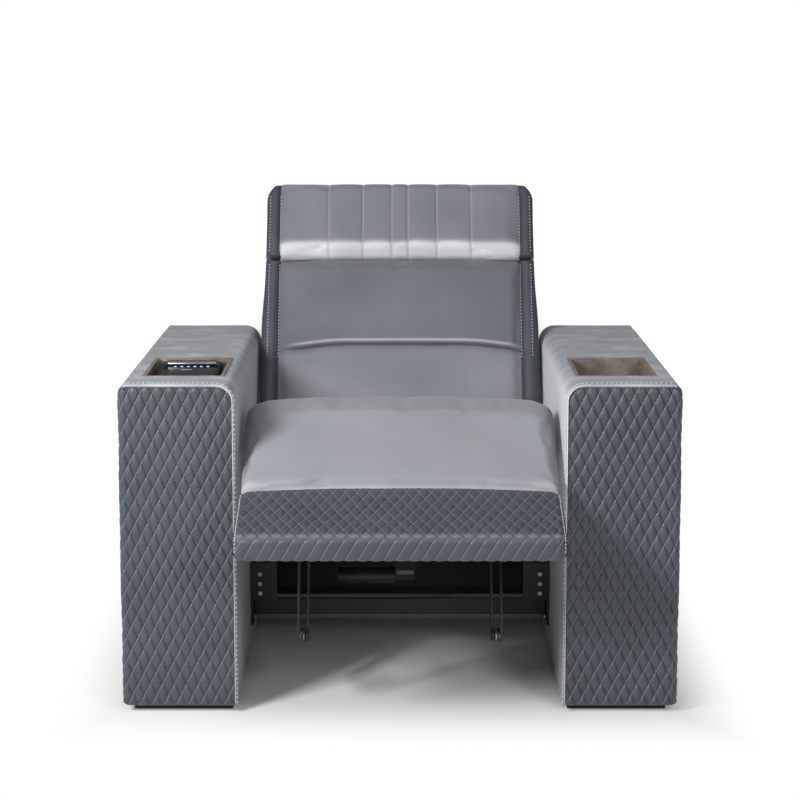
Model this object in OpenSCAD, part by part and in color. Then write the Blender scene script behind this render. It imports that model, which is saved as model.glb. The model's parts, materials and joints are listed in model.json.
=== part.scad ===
// Powered cinema recliner seat, half reclined: the footrest is swung out, the seat tipped, the back leaned.
// The origin is on the floor under the middle of the seat. -Y is the front, +Z is up, in millimetres.
// Left and right are those of somebody who stands in front and looks at the seat.

/* [Overall] */
// Clear width between the two arms
clear_w = 604; // [570:2:660]
// Width of an arm without its outer leather
arm_w = 204; // [200:2:240]
// Height of the arms above the floor
arm_h = 620; // [600:5:680]
// Depth of the arms from front to rear
arm_d = 850; // [830:5:900]
// Height of the skids under the arms
foot_h = 13; // [8:1:20]

/* [Seat and back] */
// Tip of the seat above level, in degrees
seat_tilt = 14; // [13:0.5:15]
// Recline of the back from upright, in degrees
back_tilt = 30; // [29:0.5:31]
// Gap between the seat cushion and each arm
seat_gap = 12; // [10:1:16]
// Thickness of the seat foam
seat_foam = 128; // [110:1:135]
// Gap between the back and each arm
back_gap = 13; // [10:1:16]
// Width of the leather side on each side of the back
side_w = 23.5; // [20:0.5:30]
// Height of the back above its hinge
back_h = 566; // [550:2:580]
// Height of the headrest pad
head_h = 180; // [165:1:190]

/* [Footrest] */
// Length of the footrest from knee to nose
footrest_l = 331; // [310:1:340]
// Slope of the footrest below level, in degrees
footrest_drop = 18; // [16:0.5:20]
// Thickness of the footrest foam at the nose
footrest_foam = 28; // [22:1:34]
// Length of the quilted leather band along the footrest
band_l = 191; // [150:1:210]

/* [Quilting] */
// Width of a quilted diamond
diamond_w = 22.3; // [20:0.1:40]
// Height of a quilted diamond
diamond_h = 43.5; // [40:0.5:80]
// Depth of the quilting seams
quilt_depth = 3; // [1:0.5:4]

/* [Arm boxes] */
// Width of the openings in the arm tops
recess_w = 150; // [130:2:154]
// Length of the openings in the arm tops
recess_l = 245; // [230:5:260]
// Depth of the wooden boxes
recess_depth = 90; // [80:2:120]
// Distance from the front of an arm to its opening
recess_front = 90; // [70:2:110]

/* [Hidden] */

// Reach of a cut past the face that it starts from
over = 1;
// Gap that keeps a soft piece off what carries it
soft_gap = 0.3;
// Gap round a pin that turns in a hole
run_gap = 0.1;
// Gap round the pins that ride in slots
slot_gap = 0.8;
fine = 48;
coarse = 32;

// Arms, with the arm fronts placed so that the origin lies under the middle of the seat
front_y = -391;
arm_in = clear_w / 2;
seat_half = arm_in - seat_gap;
back_half = arm_in - back_gap;
velvet_half = back_half - side_w;
arm_out = arm_in + arm_w;
rear_y = front_y + arm_d;
skin_t = 6;
leather_t = 10;
board_t = 15;
inner_round = 32;
outer_round = 8;
quilt_t = 9;
edge_draw = 4;
skid_l = 120;
skid_inset = 10;
skid_edge = 30;
box_board = 6;
core_in = arm_in + skin_t;
core_top = arm_h - skin_t;
core_front = front_y + quilt_t;
core_rear = rear_y - skin_t;
recess_x = (arm_in + arm_out) / 2 - skin_t / 3;
recess_x0 = recess_x - recess_w / 2;
recess_x1 = recess_x + recess_w / 2;
recess_y0 = front_y + recess_front;
recess_y1 = recess_y0 + recess_l;

// Control panel in the left arm's box
console_w = 111;
console_l = 212;
console_drop = 8;
console_wall = 5;
console_t = 22;
glass_t = 2;
icon_r = 2.6;
icon_t = 0.6;
icon_pitch = 12.6;
icon_count = 6;
icon_back = 13;
lid_l = 30;
lid_t = 4;
lid_back = 40;
lid_pin_r = 1.6;
lid_knuckle = 4;
lid_ear = 8;
console_x = -recess_x;
console_y0 = recess_y0 + (recess_l - console_l) / 2;
console_top = arm_h - console_drop;

// Base frame, measured behind the arm fronts and above the floor
tube = 35;
tube_low = 78;
front_tube_back = 432;
rear_tube_back = 735;
rear_tube_low = 61;
rear_tube_top = 150;
plate_t = 5;
bracket_w = 80;
bracket_top = 190;
bracket_reach = 48;
bolt_head_r = 8;
bolt_head_t = 5;
bolt_inset = 14;
base_plate_in = arm_in - plate_t;
base_plate_front = 600;
base_plate_rear = 810;
base_plate_low = 62;
base_plate_top = 330;

// Tilt pivot of the seat and hinge of the back, measured behind the arm fronts and above the floor
pivot_back = 650;
pivot_h = 250;
pivot = [front_y + pivot_back, pivot_h];
back_hinge = [50, 145];
guide = [-12.5, -110];
pin_r = 8;
collar_r = 13;
boss_r = 22;
plate_corner = 0.4;
head_t = 4;
link_gap = 2;
seat_plate_out = base_plate_in - plate_t - 2 * link_gap;
seat_plate_in = seat_plate_out - plate_t;
hinge_plate_in = seat_plate_out + link_gap;
hinge_plate_out = base_plate_in - link_gap;
guide_pin_r = 7;
guide_steps = 4;

// Travel of the joints from rest, in degrees, positive towards the upright seat
tilt_min = -2.5;
tilt_max = 4.5;
back_ratio = 3;
swing_min = -8;
swing_max = 66;
swing_step = 2;

// Seat frame, from the tilt pivot along the seat
rail_w = 25;
rail_h = 40;
rail_mid = 41.6;
rail_low = rail_mid - rail_h / 2;
rail_top = rail_mid + rail_h / 2;
rail_from_arm = 107;
rail_in = arm_in - rail_from_arm;
rail_out = rail_in + rail_w;
knee = [-577, rail_mid];
crank_axis = [-427, rail_mid];
rail_front = knee.x + boss_r;
rail_rear = -30;
cross_w = 25;
cross_front = -480;
cross_middle = -250;
cross_rear = -60;
strap_w = 45;
strap_t = 2;
seat_strap_count = 7;
seat_strap_pitch = 62;
seat_strap_first = -90;
seat_low = rail_top + strap_t + soft_gap;
seat_top = seat_low + seat_foam;
seat_rear = -92;
seat_rear_slope = 0.4;
seat_crown = 22;
crest_back = 87;
crest_fall = 61;
gap_angle = 5.5;
gap_reach = 88;

// Crank that swings the footrest, and the arm that it shares with the footrest bracket, seen level at rest
lever_arm = [-100, -280];
hinge_pin_r = 6;
link_w = 26;
link_t = 4;
hub_r = 19;
tube_r = 12;
lug_out = rail_in;
lug_in = lug_out - link_t;
bracket_out = lug_in - link_gap;
bracket_in = bracket_out - link_t;
push_out = bracket_in - link_gap;
push_in = push_out - link_t;
crank_out = push_in - link_gap;
crank_in = crank_out - link_t;
lug_r = 14;
flange_w = 20;
flange_t = 3;
bracket_l = 195;

// Drives: a motor across, a gearbox, a rail and a nut that runs along it
rail_section = 20;
footrest_drive = [10, -276, -125];
footrest_rail_front = -523;
footrest_motor_l = 114;
motor_r = 17;
motor_drop = 15;
gear_r = 26;
gear_l = 40;
recline_rail_rear = 84;
recline_motor_l = 80;
motor_gap = 5;
recline_drive = [rail_in - motor_gap - recline_motor_l - gear_l / 2, -111, -35];
nut_l = 30;
nut_wall = 6;
nut_gap = 0.3;
cheek_t = 4;
lever_t = 6;
lever_w = 16;
drive_pin_r = 5;
drive_lever_l = 130;
drive_lever_lean = -28.5;
drive_ratio_share = 0.94;
recline_lever_l = 163;
strap_plate = 6;

// Footrest, from its knee hinge along its own board
foot_board_low = 16;
foot_board_t = 12;
foot_board_top = foot_board_low + foot_board_t;
nose = -footrest_l;
nose_wrap = 9;
nose_drop = 8;
nose_top = foot_board_top + footrest_foam;
seam_y = nose + band_l;
seam_sink = 10;
seam_top = nose_top - seam_sink;
knee_top = 81;
knee_lean = footrest_drop - gap_angle;

// Back, from its hinge along its own height
face_y = -99;
frame_front = -25;
frame_rear = 0;
cover_in = 37;
cover_t = 6;
rear_face = cover_in + cover_t;
upright_w = 25;
upright_inset = 2.5;
upright_out = velvet_half - upright_inset;
upright_in = upright_out - upright_w;
back_low = -40;
cross_h = 20;
under_head = 7.2;
top_rail_drop = 21;
back_top_rail = back_h - top_rail_drop;
mid_rail_top = 180;
cross_tops = [back_low + cross_h, mid_rail_top, back_h - head_h - under_head, back_top_rail];
back_strap_count = 7;
back_strap_first = 20;
strap_below_head = 54;
back_strap_pitch = (back_h - head_h - strap_below_head - back_strap_first) / (back_strap_count - 1);
crease = 178;
crease_gap = 1.4;
edge_roll = 24;
boxing_low = 30;
hinge_zone = 118;
hinge_zone_y = -32;
lumbar_low = -45;
pad_rows = 14;
pad_roll_share = 0.3;
head_rows = 12;
foam_back = frame_front - strap_t - soft_gap;

// Headrest and its piano hinge
head_low = back_h - head_h;
head_drop = 4;
head_hinge = [-62, head_low - head_drop];
head_sweep = 12;
head_board = [-50, -38];
head_channels = 6;
head_channel_dip = 5;
leaf_t = 1.5;
knuckle_r = 3.2;
hinge_pin_small = 1.5;
hinge_inset = 65.5;
hinge_half = velvet_half - hinge_inset;
hinge_parts = 5;
hinge_play = 0.5;

// Colours
velvet = [0.62, 0.63, 0.65];
leather = [0.33, 0.35, 0.38];
steel = [0.10, 0.10, 0.11];
bright = [0.70, 0.70, 0.72];
plywood = [0.72, 0.58, 0.40];
walnut = [0.38, 0.31, 0.27];
black = [0.06, 0.06, 0.07];
webbing = [0.16, 0.16, 0.17];

// Turns a [y, z] point about the x axis
function turned(p, a) = [p.x * cos(a) - p.y * sin(a), p.x * sin(a) + p.y * cos(a)];
// A direction seen level, as seen from the tipped seat, the back or the footrest
function from_seat(p) = turned(p, seat_tilt);
function from_back(p) = turned(p, back_tilt);
function from_footrest(p) = turned(p, -footrest_drop);
// The guide pin's centre for a tip of the seat from rest
function guide_at(a) = pivot + turned(back_hinge + turned(guide, back_ratio * a), a);
hinge_s = from_seat(back_hinge);
crank_end = crank_axis + from_seat(lever_arm);
bracket_end = from_footrest(lever_arm);

module both_sides() {
    children();
    mirror([1, 0, 0]) children();
}

module left_side() {
    mirror([1, 0, 0]) children();
}

module in_seat() {
    translate([0, pivot.x, pivot.y]) rotate([-seat_tilt, 0, 0]) children();
}

module in_back() {
    translate([0, pivot.x + back_hinge.x, pivot.y + back_hinge.y]) rotate([-back_tilt, 0, 0]) children();
}

module in_footrest() {
    in_seat() translate([0, knee.x, knee.y]) rotate([footrest_drop + seat_tilt, 0, 0]) children();
}

// A box from its lowest to its highest corner
module span_box(low, high) {
    translate(low) cube(high - low);
}

// A flat plate seen from the side, given as a [y, z] outline, from x0 to x1
module side_plate(x0, x1) {
    translate([x0, 0, 0]) rotate([90, 0, 90]) linear_extrude(x1 - x0) children();
}

// A flat plate seen from the front, given as an [x, z] outline, from y0 to y1
module front_plate(y0, y1) {
    translate([0, y1, 0]) rotate([90, 0, 0]) linear_extrude(y1 - y0) children();
}

// A round bar along x through a [y, z] point
module cross_bar(p, x0, x1, r) {
    translate([x0, p.x, p.y]) rotate([0, 90, 0]) cylinder(h = x1 - x0, r = r, $fn = fine);
}

// A straight link outline with round ends between two points
module link_outline(a, b, w) {
    d = b - a;
    translate(a) rotate(atan2(d.y, d.x)) translate([0, -w / 2]) square([norm(d), w]);
    translate(a) circle(w / 2, $fn = fine);
    translate(b) circle(w / 2, $fn = fine);
}

module hole(p, r) {
    translate(p) circle(r, $fn = fine);
}

// Numbers of the border points of a grid, counter-clockwise from outside
function border(nx, ny) = concat(
    [for (i = [0:nx]) i],
    [for (j = [1:ny]) j * (nx + 1) + nx],
    [for (i = [nx - 1:-1:0]) ny * (nx + 1) + i],
    [for (j = [ny - 1:-1:1]) j * (nx + 1)]
);

// A closed solid: a grid of outer points over a flat floor that lies below its border.
// Each square of the grid is split along the diagonal that joins points of even number.
module grid_body(rows, floor_of) {
    nx = len(rows[0]) - 1;
    ny = len(rows) - 1;
    flat = [for (r = rows) each r];
    edge = border(nx, ny);
    m = len(edge);
    n = len(flat);
    base = [for (e = edge) floor_of(flat[e])];
    faces = concat(
        [for (j = [0:ny - 1]) for (i = [0:nx - 1])
            let (a = j * (nx + 1) + i, b = a + 1, d = a + nx + 1, c = d + 1)
            each ((i + j) % 2 == 0 ? [[a, d, c], [a, c, b]] : [[a, d, b], [d, c, b]])],
        [for (k = [0:m - 1])
            let (t0 = edge[k], t1 = edge[(k + 1) % m], b0 = n + k, b1 = n + (k + 1) % m)
            each [[t0, t1, b1], [t0, b1, b0], [b0, b1, n + m]]]
    );
    centre = [for (axis = [0:2]) (max([for (b = base) b[axis]]) + min([for (b = base) b[axis]])) / 2];
    polyhedron(points = concat(flat, base, [centre]), faces = faces, convexity = 6);
}

// Steps from -1 to 1 that lie closer together at both ends
function cosine_steps(n) = [for (i = [0:n]) -cos(180 * i / n)];
// How far a rounded edge falls at a share s of the half width, for a roll of radius r
function roll_drop(s, r, band_share = 0.12) =
    let (t = max(0, (abs(s) - 1 + band_share) / band_share)) r * (1 - sqrt(max(0, 1 - t * t)));

// Arms

module arm_section(x0, x1, z0, z1, r0, r1) {
    translate([x0, z0]) square([x1 - x0, z1 - z0 - max(r0, r1)]);
    translate([x0 + r0, z0]) square([x1 - x0 - r0 - r1, z1 - z0]);
    translate([x0, z0]) square([r0 + r1, z1 - z0 - r0]);
    translate([x1 - r1 - r0, z0]) square([r0 + r1, z1 - z0 - r1]);
    translate([x0 + r0, z1 - r0]) circle(r0, $fn = fine);
    translate([x1 - r1, z1 - r1]) circle(r1, $fn = fine);
}

module arm_carcass() {
    strip_low = core_top - inner_round;
    low = foot_h + board_t;
    edge_top = arm_out - (outer_round - skin_t);
    color(plywood) {
        span_box([core_in, core_front, foot_h], [arm_out, core_rear, low]);
        span_box([core_in, core_front, low], [core_in + board_t, core_rear, strip_low]);
        span_box([arm_out - board_t, core_front, low], [arm_out, core_rear, strip_low]);
        span_box(
            [core_in + board_t, core_front, low],
            [arm_out - board_t, core_front + board_t, strip_low]
        );
        span_box([core_in + board_t, core_rear - board_t, low], [arm_out - board_t, core_rear, strip_low]);
        span_box([core_in + inner_round - skin_t, core_front, strip_low], [edge_top, recess_y0, core_top]);
        span_box([core_in + inner_round - skin_t, recess_y1, strip_low], [edge_top, core_rear, core_top]);
        span_box(
            [core_in + board_t / 2, core_front, strip_low],
            [recess_x0, core_rear, strip_low + board_t]
        );
        span_box([recess_x1, recess_y0, strip_low], [edge_top, recess_y1, core_top]);
    }
}

module arm_velvet() {
    color(velvet)
    difference() {
        front_plate(core_front, core_rear)
            arm_section(arm_in, arm_out, foot_h, arm_h, inner_round, outer_round);
        span_box(
            [core_in, core_front - over, foot_h - over],
            [arm_out + over, core_rear + over, core_top - inner_round]
        );
        front_plate(core_front - over, core_rear + over)
            arm_section(
                core_in, arm_out + over, foot_h, core_top,
                inner_round - skin_t, outer_round - skin_t
            );
        span_box([recess_x0, recess_y0, foot_h], [recess_x1, recess_y1, arm_h + over]);
    }
}

// How far the rounded corner of radius r draws in the outline at height z
function corner_in(z, r) = let (t = max(0, z - arm_h + r)) r - sqrt(max(0, r * r - t * t));

module arm_front_quilt() {
    columns = 2 * floor((arm_w + leather_t) / diamond_w);
    lines = 2 * floor((arm_h - foot_h) / diamond_h);
    rows = [for (j = [0:lines])
        let (z = foot_h + (arm_h - foot_h) * j / lines)
        let (x0 = arm_in + corner_in(z, inner_round), x1 = arm_out + leather_t - corner_in(z, outer_round))
        [for (i = [0:columns])
            let (rim = i == 0 || i == columns || j == 0 || j == lines)
            let (dip = rim ? edge_draw : (i + j) % 2 == 0 ? quilt_depth : 0)
            [x0 + (x1 - x0) * i / columns, front_y + dip, z]]];
    color(leather) grid_body(rows, function(p) [p.x, core_front, p.z]);
}

module arm_leather() {
    color(leather) {
        span_box([arm_out, core_front, foot_h], [arm_out + leather_t, rear_y, arm_h - outer_round]);
        span_box([arm_in, core_rear, foot_h], [arm_out, rear_y, arm_h - inner_round]);
    }
}

module arm_skids() {
    color(black) both_sides()
    for (y = [front_y + skid_edge, rear_y - skid_edge - skid_l])
        side_plate(arm_in + skid_inset, arm_out - skid_inset) translate([y, 0]) square([skid_l, foot_h]);
}

module arm_box() {
    low = arm_h - recess_depth;
    floor_top = low + box_board;
    color(walnut) {
        span_box([recess_x0, recess_y0, low], [recess_x1, recess_y1, floor_top]);
        span_box([recess_x0, recess_y0, floor_top], [recess_x0 + box_board, recess_y1, arm_h]);
        span_box([recess_x1 - box_board, recess_y0, floor_top], [recess_x1, recess_y1, arm_h]);
        for (y = [recess_y0, recess_y1 - box_board])
            span_box(
                [recess_x0 + box_board, y, floor_top],
                [recess_x1 - box_board, y + box_board, arm_h]
            );
    }
}

// Control panel

module console_housing() {
    low = arm_h - recess_depth + box_board;
    lid_y = console_y0 + console_l - lid_back;
    color(black)
    difference() {
        union() {
            span_box(
                [console_x - console_w / 2, console_y0, console_top - console_t],
                [console_x + console_w / 2, console_y0 + console_l, console_top]
            );
            span_box(
                [console_x - console_w / 2 + console_wall, console_y0 + console_wall, low],
                [
                    console_x + console_w / 2 - console_wall,
                    console_y0 + console_l - console_wall,
                    console_top - console_t
                ]
            );
            for (s = [-1, 1])
                translate([s * (console_w / 2 - lid_ear / 2) + console_x - lid_ear / 2, 0, 0])
                    side_plate(0, lid_ear)
                        link_outline(
                            [lid_y, console_top],
                            [lid_y, console_top + lid_knuckle],
                            2 * lid_knuckle
                        );
        }
        span_box(
            [console_x - console_w / 2 + console_wall, console_y0 + console_wall, console_top - glass_t],
            [
                console_x + console_w / 2 - console_wall,
                console_y0 + console_l - console_wall - lid_back - lid_knuckle,
                console_top + over
            ]
        );
        cross_bar(
            [lid_y, console_top + lid_knuckle],
            console_x - console_w, console_x + console_w, lid_pin_r
        );
    }
}

module console_glass() {
    color([0.09, 0.09, 0.11])
    span_box(
        [console_x - console_w / 2 + console_wall, console_y0 + console_wall, console_top - glass_t],
        [
            console_x + console_w / 2 - console_wall,
            console_y0 + console_l - console_wall - lid_back - lid_knuckle,
            console_top
        ]
    );
}

module console_icons() {
    y = console_y0 + console_l - lid_back - icon_back;
    color([0.37, 0.53, 0.91])
    for (i = [0:icon_count - 1])
        translate([console_x + (i - (icon_count - 1) / 2) * icon_pitch, y, console_top])
            cylinder(h = icon_t, r = icon_r, $fn = coarse);
}

module console_lid() {
    half = console_w / 2 - lid_ear - hinge_play;
    y = console_y0 + console_l - lid_back;
    z = console_top + lid_knuckle;
    color(bright)
    difference() {
        union() {
            cross_bar([y, z], console_x - half, console_x + half, lid_knuckle - hinge_play);
            span_box(
                [console_x - half, y, z + lid_knuckle - lid_t - hinge_play],
                [console_x + half, y + lid_l, z + lid_knuckle - hinge_play]
            );
        }
        cross_bar([y, z], console_x - half - over, console_x + half + over, lid_pin_r + run_gap);
    }
}

module console_hinge_pin() {
    color(bright)
    cross_bar(
        [console_y0 + console_l - lid_back, console_top + lid_knuckle],
        console_x - console_w / 2, console_x + console_w / 2, lid_pin_r
    );
}

// Base frame

module base_tube(back, low, top) {
    color(steel)
    span_box(
        [-base_plate_in, front_y + back, low],
        [base_plate_in, front_y + back + tube, top]
    );
}

module base_front_brackets() {
    y0 = front_y + front_tube_back + (tube - bracket_w) / 2;
    color(steel) both_sides() {
        span_box([base_plate_in, y0, base_plate_low], [arm_in, y0 + bracket_w, bracket_top]);
        span_box(
            [base_plate_in - bracket_reach, y0, tube_low + tube],
            [base_plate_in, y0 + plate_t, bracket_top]
        );
    }
}

// The slot that the guide pin rides in, as wide as the pin and its gap, along the pin's own path
module guide_slot() {
    r = guide_pin_r + slot_gap;
    path = [for (i = [0:guide_steps]) guide_at(tilt_min + (tilt_max - tilt_min) * i / guide_steps)];
    across = [for (i = [0:guide_steps])
        let (d = path[min(i + 1, guide_steps)] - path[max(i - 1, 0)])
        [-d.y, d.x] * r / norm(d)];
    polygon(concat(
        [for (i = [0:guide_steps]) path[i] + across[i]],
        [for (i = [guide_steps:-1:0]) path[i] - across[i]]
    ));
    hole(path[0], r);
    hole(path[guide_steps], r);
}

module base_side_plates() {
    color(steel) both_sides()
    difference() {
        span_box(
            [base_plate_in, front_y + base_plate_front, base_plate_low],
            [arm_in, front_y + base_plate_rear, base_plate_top]
        );
        side_plate(base_plate_in - over, arm_in + over) guide_slot();
    }
}

module arm_bolts() {
    y_front = front_y + front_tube_back + tube / 2;
    front_half = bracket_w / 2 - bolt_inset;
    spots = [
        [y_front - front_half, base_plate_low + bolt_inset],
        [y_front + front_half, base_plate_low + bolt_inset],
        [y_front - front_half, bracket_top - bolt_inset],
        [y_front + front_half, bracket_top - bolt_inset],
        [front_y + base_plate_front + bolt_inset, base_plate_low + bolt_inset],
        [front_y + base_plate_rear - bolt_inset, base_plate_low + bolt_inset],
        [front_y + base_plate_front + bolt_inset, base_plate_top - bolt_inset],
        [front_y + base_plate_rear - bolt_inset, base_plate_top - bolt_inset]
    ];
    color(bright) both_sides()
        for (p = spots)
            cross_bar(p, base_plate_in - bolt_head_t, base_plate_in, bolt_head_r);
}

module tilt_pivot_pins() {
    color(bright) both_sides() {
        cross_bar(pivot, seat_plate_in - link_gap / 2, base_plate_in, pin_r);
        cross_bar(pivot, seat_plate_in - link_gap / 2 - head_t, seat_plate_in - link_gap / 2, collar_r);
        cross_bar(pivot, seat_plate_out + link_gap / 2, base_plate_in, collar_r);
    }
}

// Seat

module seat_side_rails() {
    color(steel) in_seat() both_sides()
    difference() {
        span_box([rail_in, rail_front, rail_low], [rail_out, rail_rear, rail_top]);
        cross_bar(crank_axis, rail_in - over, rail_out + over, tube_r + run_gap);
    }
}

module seat_cross_rails() {
    color(steel) in_seat() {
        for (y = [cross_front, cross_middle])
            span_box([-rail_in, y, rail_low], [rail_in, y + cross_w, rail_top]);
        span_box([-rail_in, cross_rear, rail_low], [rail_in, cross_rear + cross_w, rail_top]);
        both_sides()
            span_box([rail_out, cross_rear, rail_low], [seat_plate_in, cross_rear + cross_w, rail_top]);
    }
}

// Outline of a seat plate: from the side rail round the seat pivot and up to the back hinge
module seat_plate_outline() {
    near = plate_corner * boss_r;
    polygon([
        [cross_rear, rail_low],
        [-boss_r, rail_low],
        [-boss_r, -near],
        [-near, -boss_r],
        [near, -boss_r],
        [boss_r, -near],
        hinge_s + [boss_r, near],
        hinge_s + [near, boss_r],
        hinge_s + [-near, boss_r],
        hinge_s + [-boss_r, near],
        [-boss_r, rail_top],
        [cross_rear, rail_top]
    ]);
}

module seat_side_plates() {
    color(steel) in_seat() both_sides()
    side_plate(seat_plate_in, seat_plate_out)
    difference() {
        seat_plate_outline();
        hole([0, 0], pin_r + run_gap);
    }
}

module back_pivot_pins() {
    color(bright) in_seat() both_sides() {
        cross_bar(hinge_s, seat_plate_out, hinge_plate_out + link_gap / 2, pin_r);
        cross_bar(
            hinge_s, hinge_plate_out + link_gap / 2, hinge_plate_out + link_gap / 2 + head_t,
            collar_r
        );
    }
}

module seat_webbing() {
    color(webbing) in_seat()
    for (k = [0:seat_strap_count - 1])
        span_box(
            [-rail_out, seat_strap_first - k * seat_strap_pitch - strap_w, rail_top],
            [rail_out, seat_strap_first - k * seat_strap_pitch, rail_top + strap_t]
        );
}

// Height of the seat cushion's middle line, which falls ahead of the crest
function seat_line(y) =
    seat_top - crest_fall * pow(max(0, seat_front_y + crest_back - y) / crest_back, 1.7);
seat_front_lean = seat_tilt - gap_angle;
seat_front_y = knee.x - gap_reach * sin(seat_front_lean);

module seat_cushion() {
    nx = 22;
    ny = 22;
    half = seat_half;
    low_front = knee.x - (seat_low - knee.y) * tan(seat_front_lean);
    low_rear = seat_rear - seat_foam * seat_rear_slope;
    xs = cosine_steps(nx);
    ys = cosine_steps(ny);
    mid = (seat_front_y + seat_rear) / 2;
    reach = (seat_rear - seat_front_y) / 2;
    rows = [for (v = ys)
        let (y = mid + reach * v, s_rear = max(0, v), near = pow(max(0, -v), 4) * tan(seat_front_lean))
        [for (u = xs)
            let (fall = seat_crown * pow(abs(u), 2.4) + roll_drop(u, edge_roll / 2))
            [half * u, y + near * fall, seat_line(y) - fall - roll_drop(s_rear, edge_roll)]]];
    color(velvet) in_seat()
        grid_body(rows, function(p)
            let (t = (p.y - seat_front_y) / (seat_rear - seat_front_y))
            [p.x, low_front + (low_rear - low_front) * t, seat_low]);
}

module footrest_hinge_lugs() {
    color(steel) in_seat() both_sides()
    side_plate(lug_in, lug_out)
        link_outline(knee, [knee.x + 2 * boss_r, knee.y], 2 * lug_r);
}

module footrest_hinge_pins() {
    color(bright) in_seat() both_sides() {
        cross_bar(knee, bracket_in - link_gap / 2, lug_in, hinge_pin_r);
        cross_bar(
            knee, bracket_in - link_gap / 2 - flange_t, bracket_in - link_gap / 2,
            hinge_pin_r + link_t / 2
        );
    }
}

// Drives

module footrest_motor() {
    p = [footrest_drive.y, footrest_drive.z - motor_drop];
    x1 = footrest_drive.x - gear_l / 2;
    color(steel) in_seat() cross_bar(p, x1 - footrest_motor_l, x1, motor_r);
}

module recline_motor() {
    p = [recline_drive.y, recline_drive.z];
    x0 = recline_drive.x + gear_l / 2;
    color(steel) in_seat() cross_bar(p, x0, x0 + recline_motor_l, motor_r);
}

module actuator_gearboxes() {
    color(steel) in_seat()
    for (d = [footrest_drive, recline_drive]) {
        cut = d == footrest_drive ? -gear_r : gear_r - nut_wall;
        difference() {
            cross_bar([d.y, d.z], d.x - gear_l / 2, d.x + gear_l / 2, gear_r);
            span_box(
                [d.x - gear_l, d.y + cut - (cut < 0 ? over : 0), d.z - gear_r],
                [d.x + gear_l, d.y + cut + nut_wall + (cut < 0 ? 0 : over), d.z + gear_r]
            );
        }
    }
}

module drive_bar(d, y0, y1) {
    span_box(
        [d.x - rail_section / 2, y0, d.z - rail_section / 2],
        [d.x + rail_section / 2, y1, d.z + rail_section / 2]
    );
}

module actuator_rails() {
    color(bright) in_seat() {
        drive_bar(footrest_drive, footrest_rail_front, footrest_drive.y - gear_r + nut_wall);
        drive_bar(recline_drive, recline_drive.y + gear_r - nut_wall, recline_rail_rear);
    }
}

module actuator_brackets() {
    f = footrest_drive;
    r = recline_drive;
    half = gear_l / 2;
    color(steel) in_seat() {
        span_box([f.x - half, f.y + gear_r, f.z], [f.x + half, f.y + gear_r + strap_plate, rail_low]);
        span_box(
            [f.x - half, footrest_rail_front - strap_plate, f.z - rail_section / 2],
            [f.x + half, footrest_rail_front, rail_low]
        );
        span_box(
            [f.x - half, footrest_rail_front, rail_low - strap_plate],
            [f.x + half, cross_front + cross_w / 2, rail_low]
        );
        span_box(
            [r.x - half, cross_rear + strap_plate, r.z + rail_section / 2],
            [r.x + half, cross_rear + 2 * strap_plate, rail_low]
        );
    }
}

// A nut block round its bar, with two cheeks that hold an upright slot for the lever's pin
module nut(d, y, slot_y0, slot_y1, slot_low, slot_top) {
    half = rail_section / 2 + nut_gap;
    wall = half + nut_wall;
    cheek_in = lever_t / 2 + link_gap;
    difference() {
        union() {
            span_box([d.x - wall, y - nut_l / 2, d.z - wall], [d.x + wall, y + nut_l / 2, d.z + wall]);
            for (s = [-1, 1])
                translate([d.x + s * (cheek_in + cheek_t / 2), y, 0])
                    span_box(
                        [-cheek_t / 2, -nut_l / 2, d.z + wall],
                        [cheek_t / 2, nut_l / 2, slot_top + nut_wall]
                    );
        }
        span_box([d.x - half, y - nut_l, d.z - half], [d.x + half, y + nut_l, d.z + half]);
        span_box([d.x - 2 * wall, slot_y0, slot_low], [d.x + 2 * wall, slot_y1, slot_top]);
    }
}

// Place of the drive lever's pin from the crank's axis, for a swing of the footrest from rest
function drive_pin(a) = turned([0, -drive_lever_l], a + drive_lever_lean);
// How far that pin runs ahead of the nut's even travel
function drive_lead(a) = drive_pin(a).x - drive_pin(0).x - drive_ratio_share * drive_lever_l * a * PI / 180;

module footrest_nut() {
    leads = [for (a = [swing_min:swing_step:swing_max]) drive_lead(a)];
    heights = [for (a = [swing_min:swing_step:swing_max]) drive_pin(a).y];
    y = crank_axis.x + drive_pin(0).x + (min(leads) + max(leads)) / 2;
    reach = drive_pin_r + slot_gap;
    color(bright) in_seat()
    nut(
        footrest_drive, y,
        y - (max(leads) - min(leads)) / 2 - reach, y + (max(leads) - min(leads)) / 2 + reach,
        crank_axis.y + min(heights) - reach, crank_axis.y + max(heights) + reach
    );
}

module recline_nut() {
    y = hinge_s.x;
    z = hinge_s.y - recline_lever_l;
    reach = drive_pin_r + slot_gap;
    rise = recline_lever_l * (1 - cos(back_ratio * tilt_max));
    color(bright) in_seat() nut(recline_drive, y, y - reach, y + reach, z - reach, z + rise + reach);
}

// Footrest

module footrest_board() {
    color(plywood) in_footrest()
        span_box(
            [edge_roll - seat_half, nose + nose_wrap, foot_board_low],
            [seat_half - edge_roll, 0, foot_board_top]
        );
}

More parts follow.
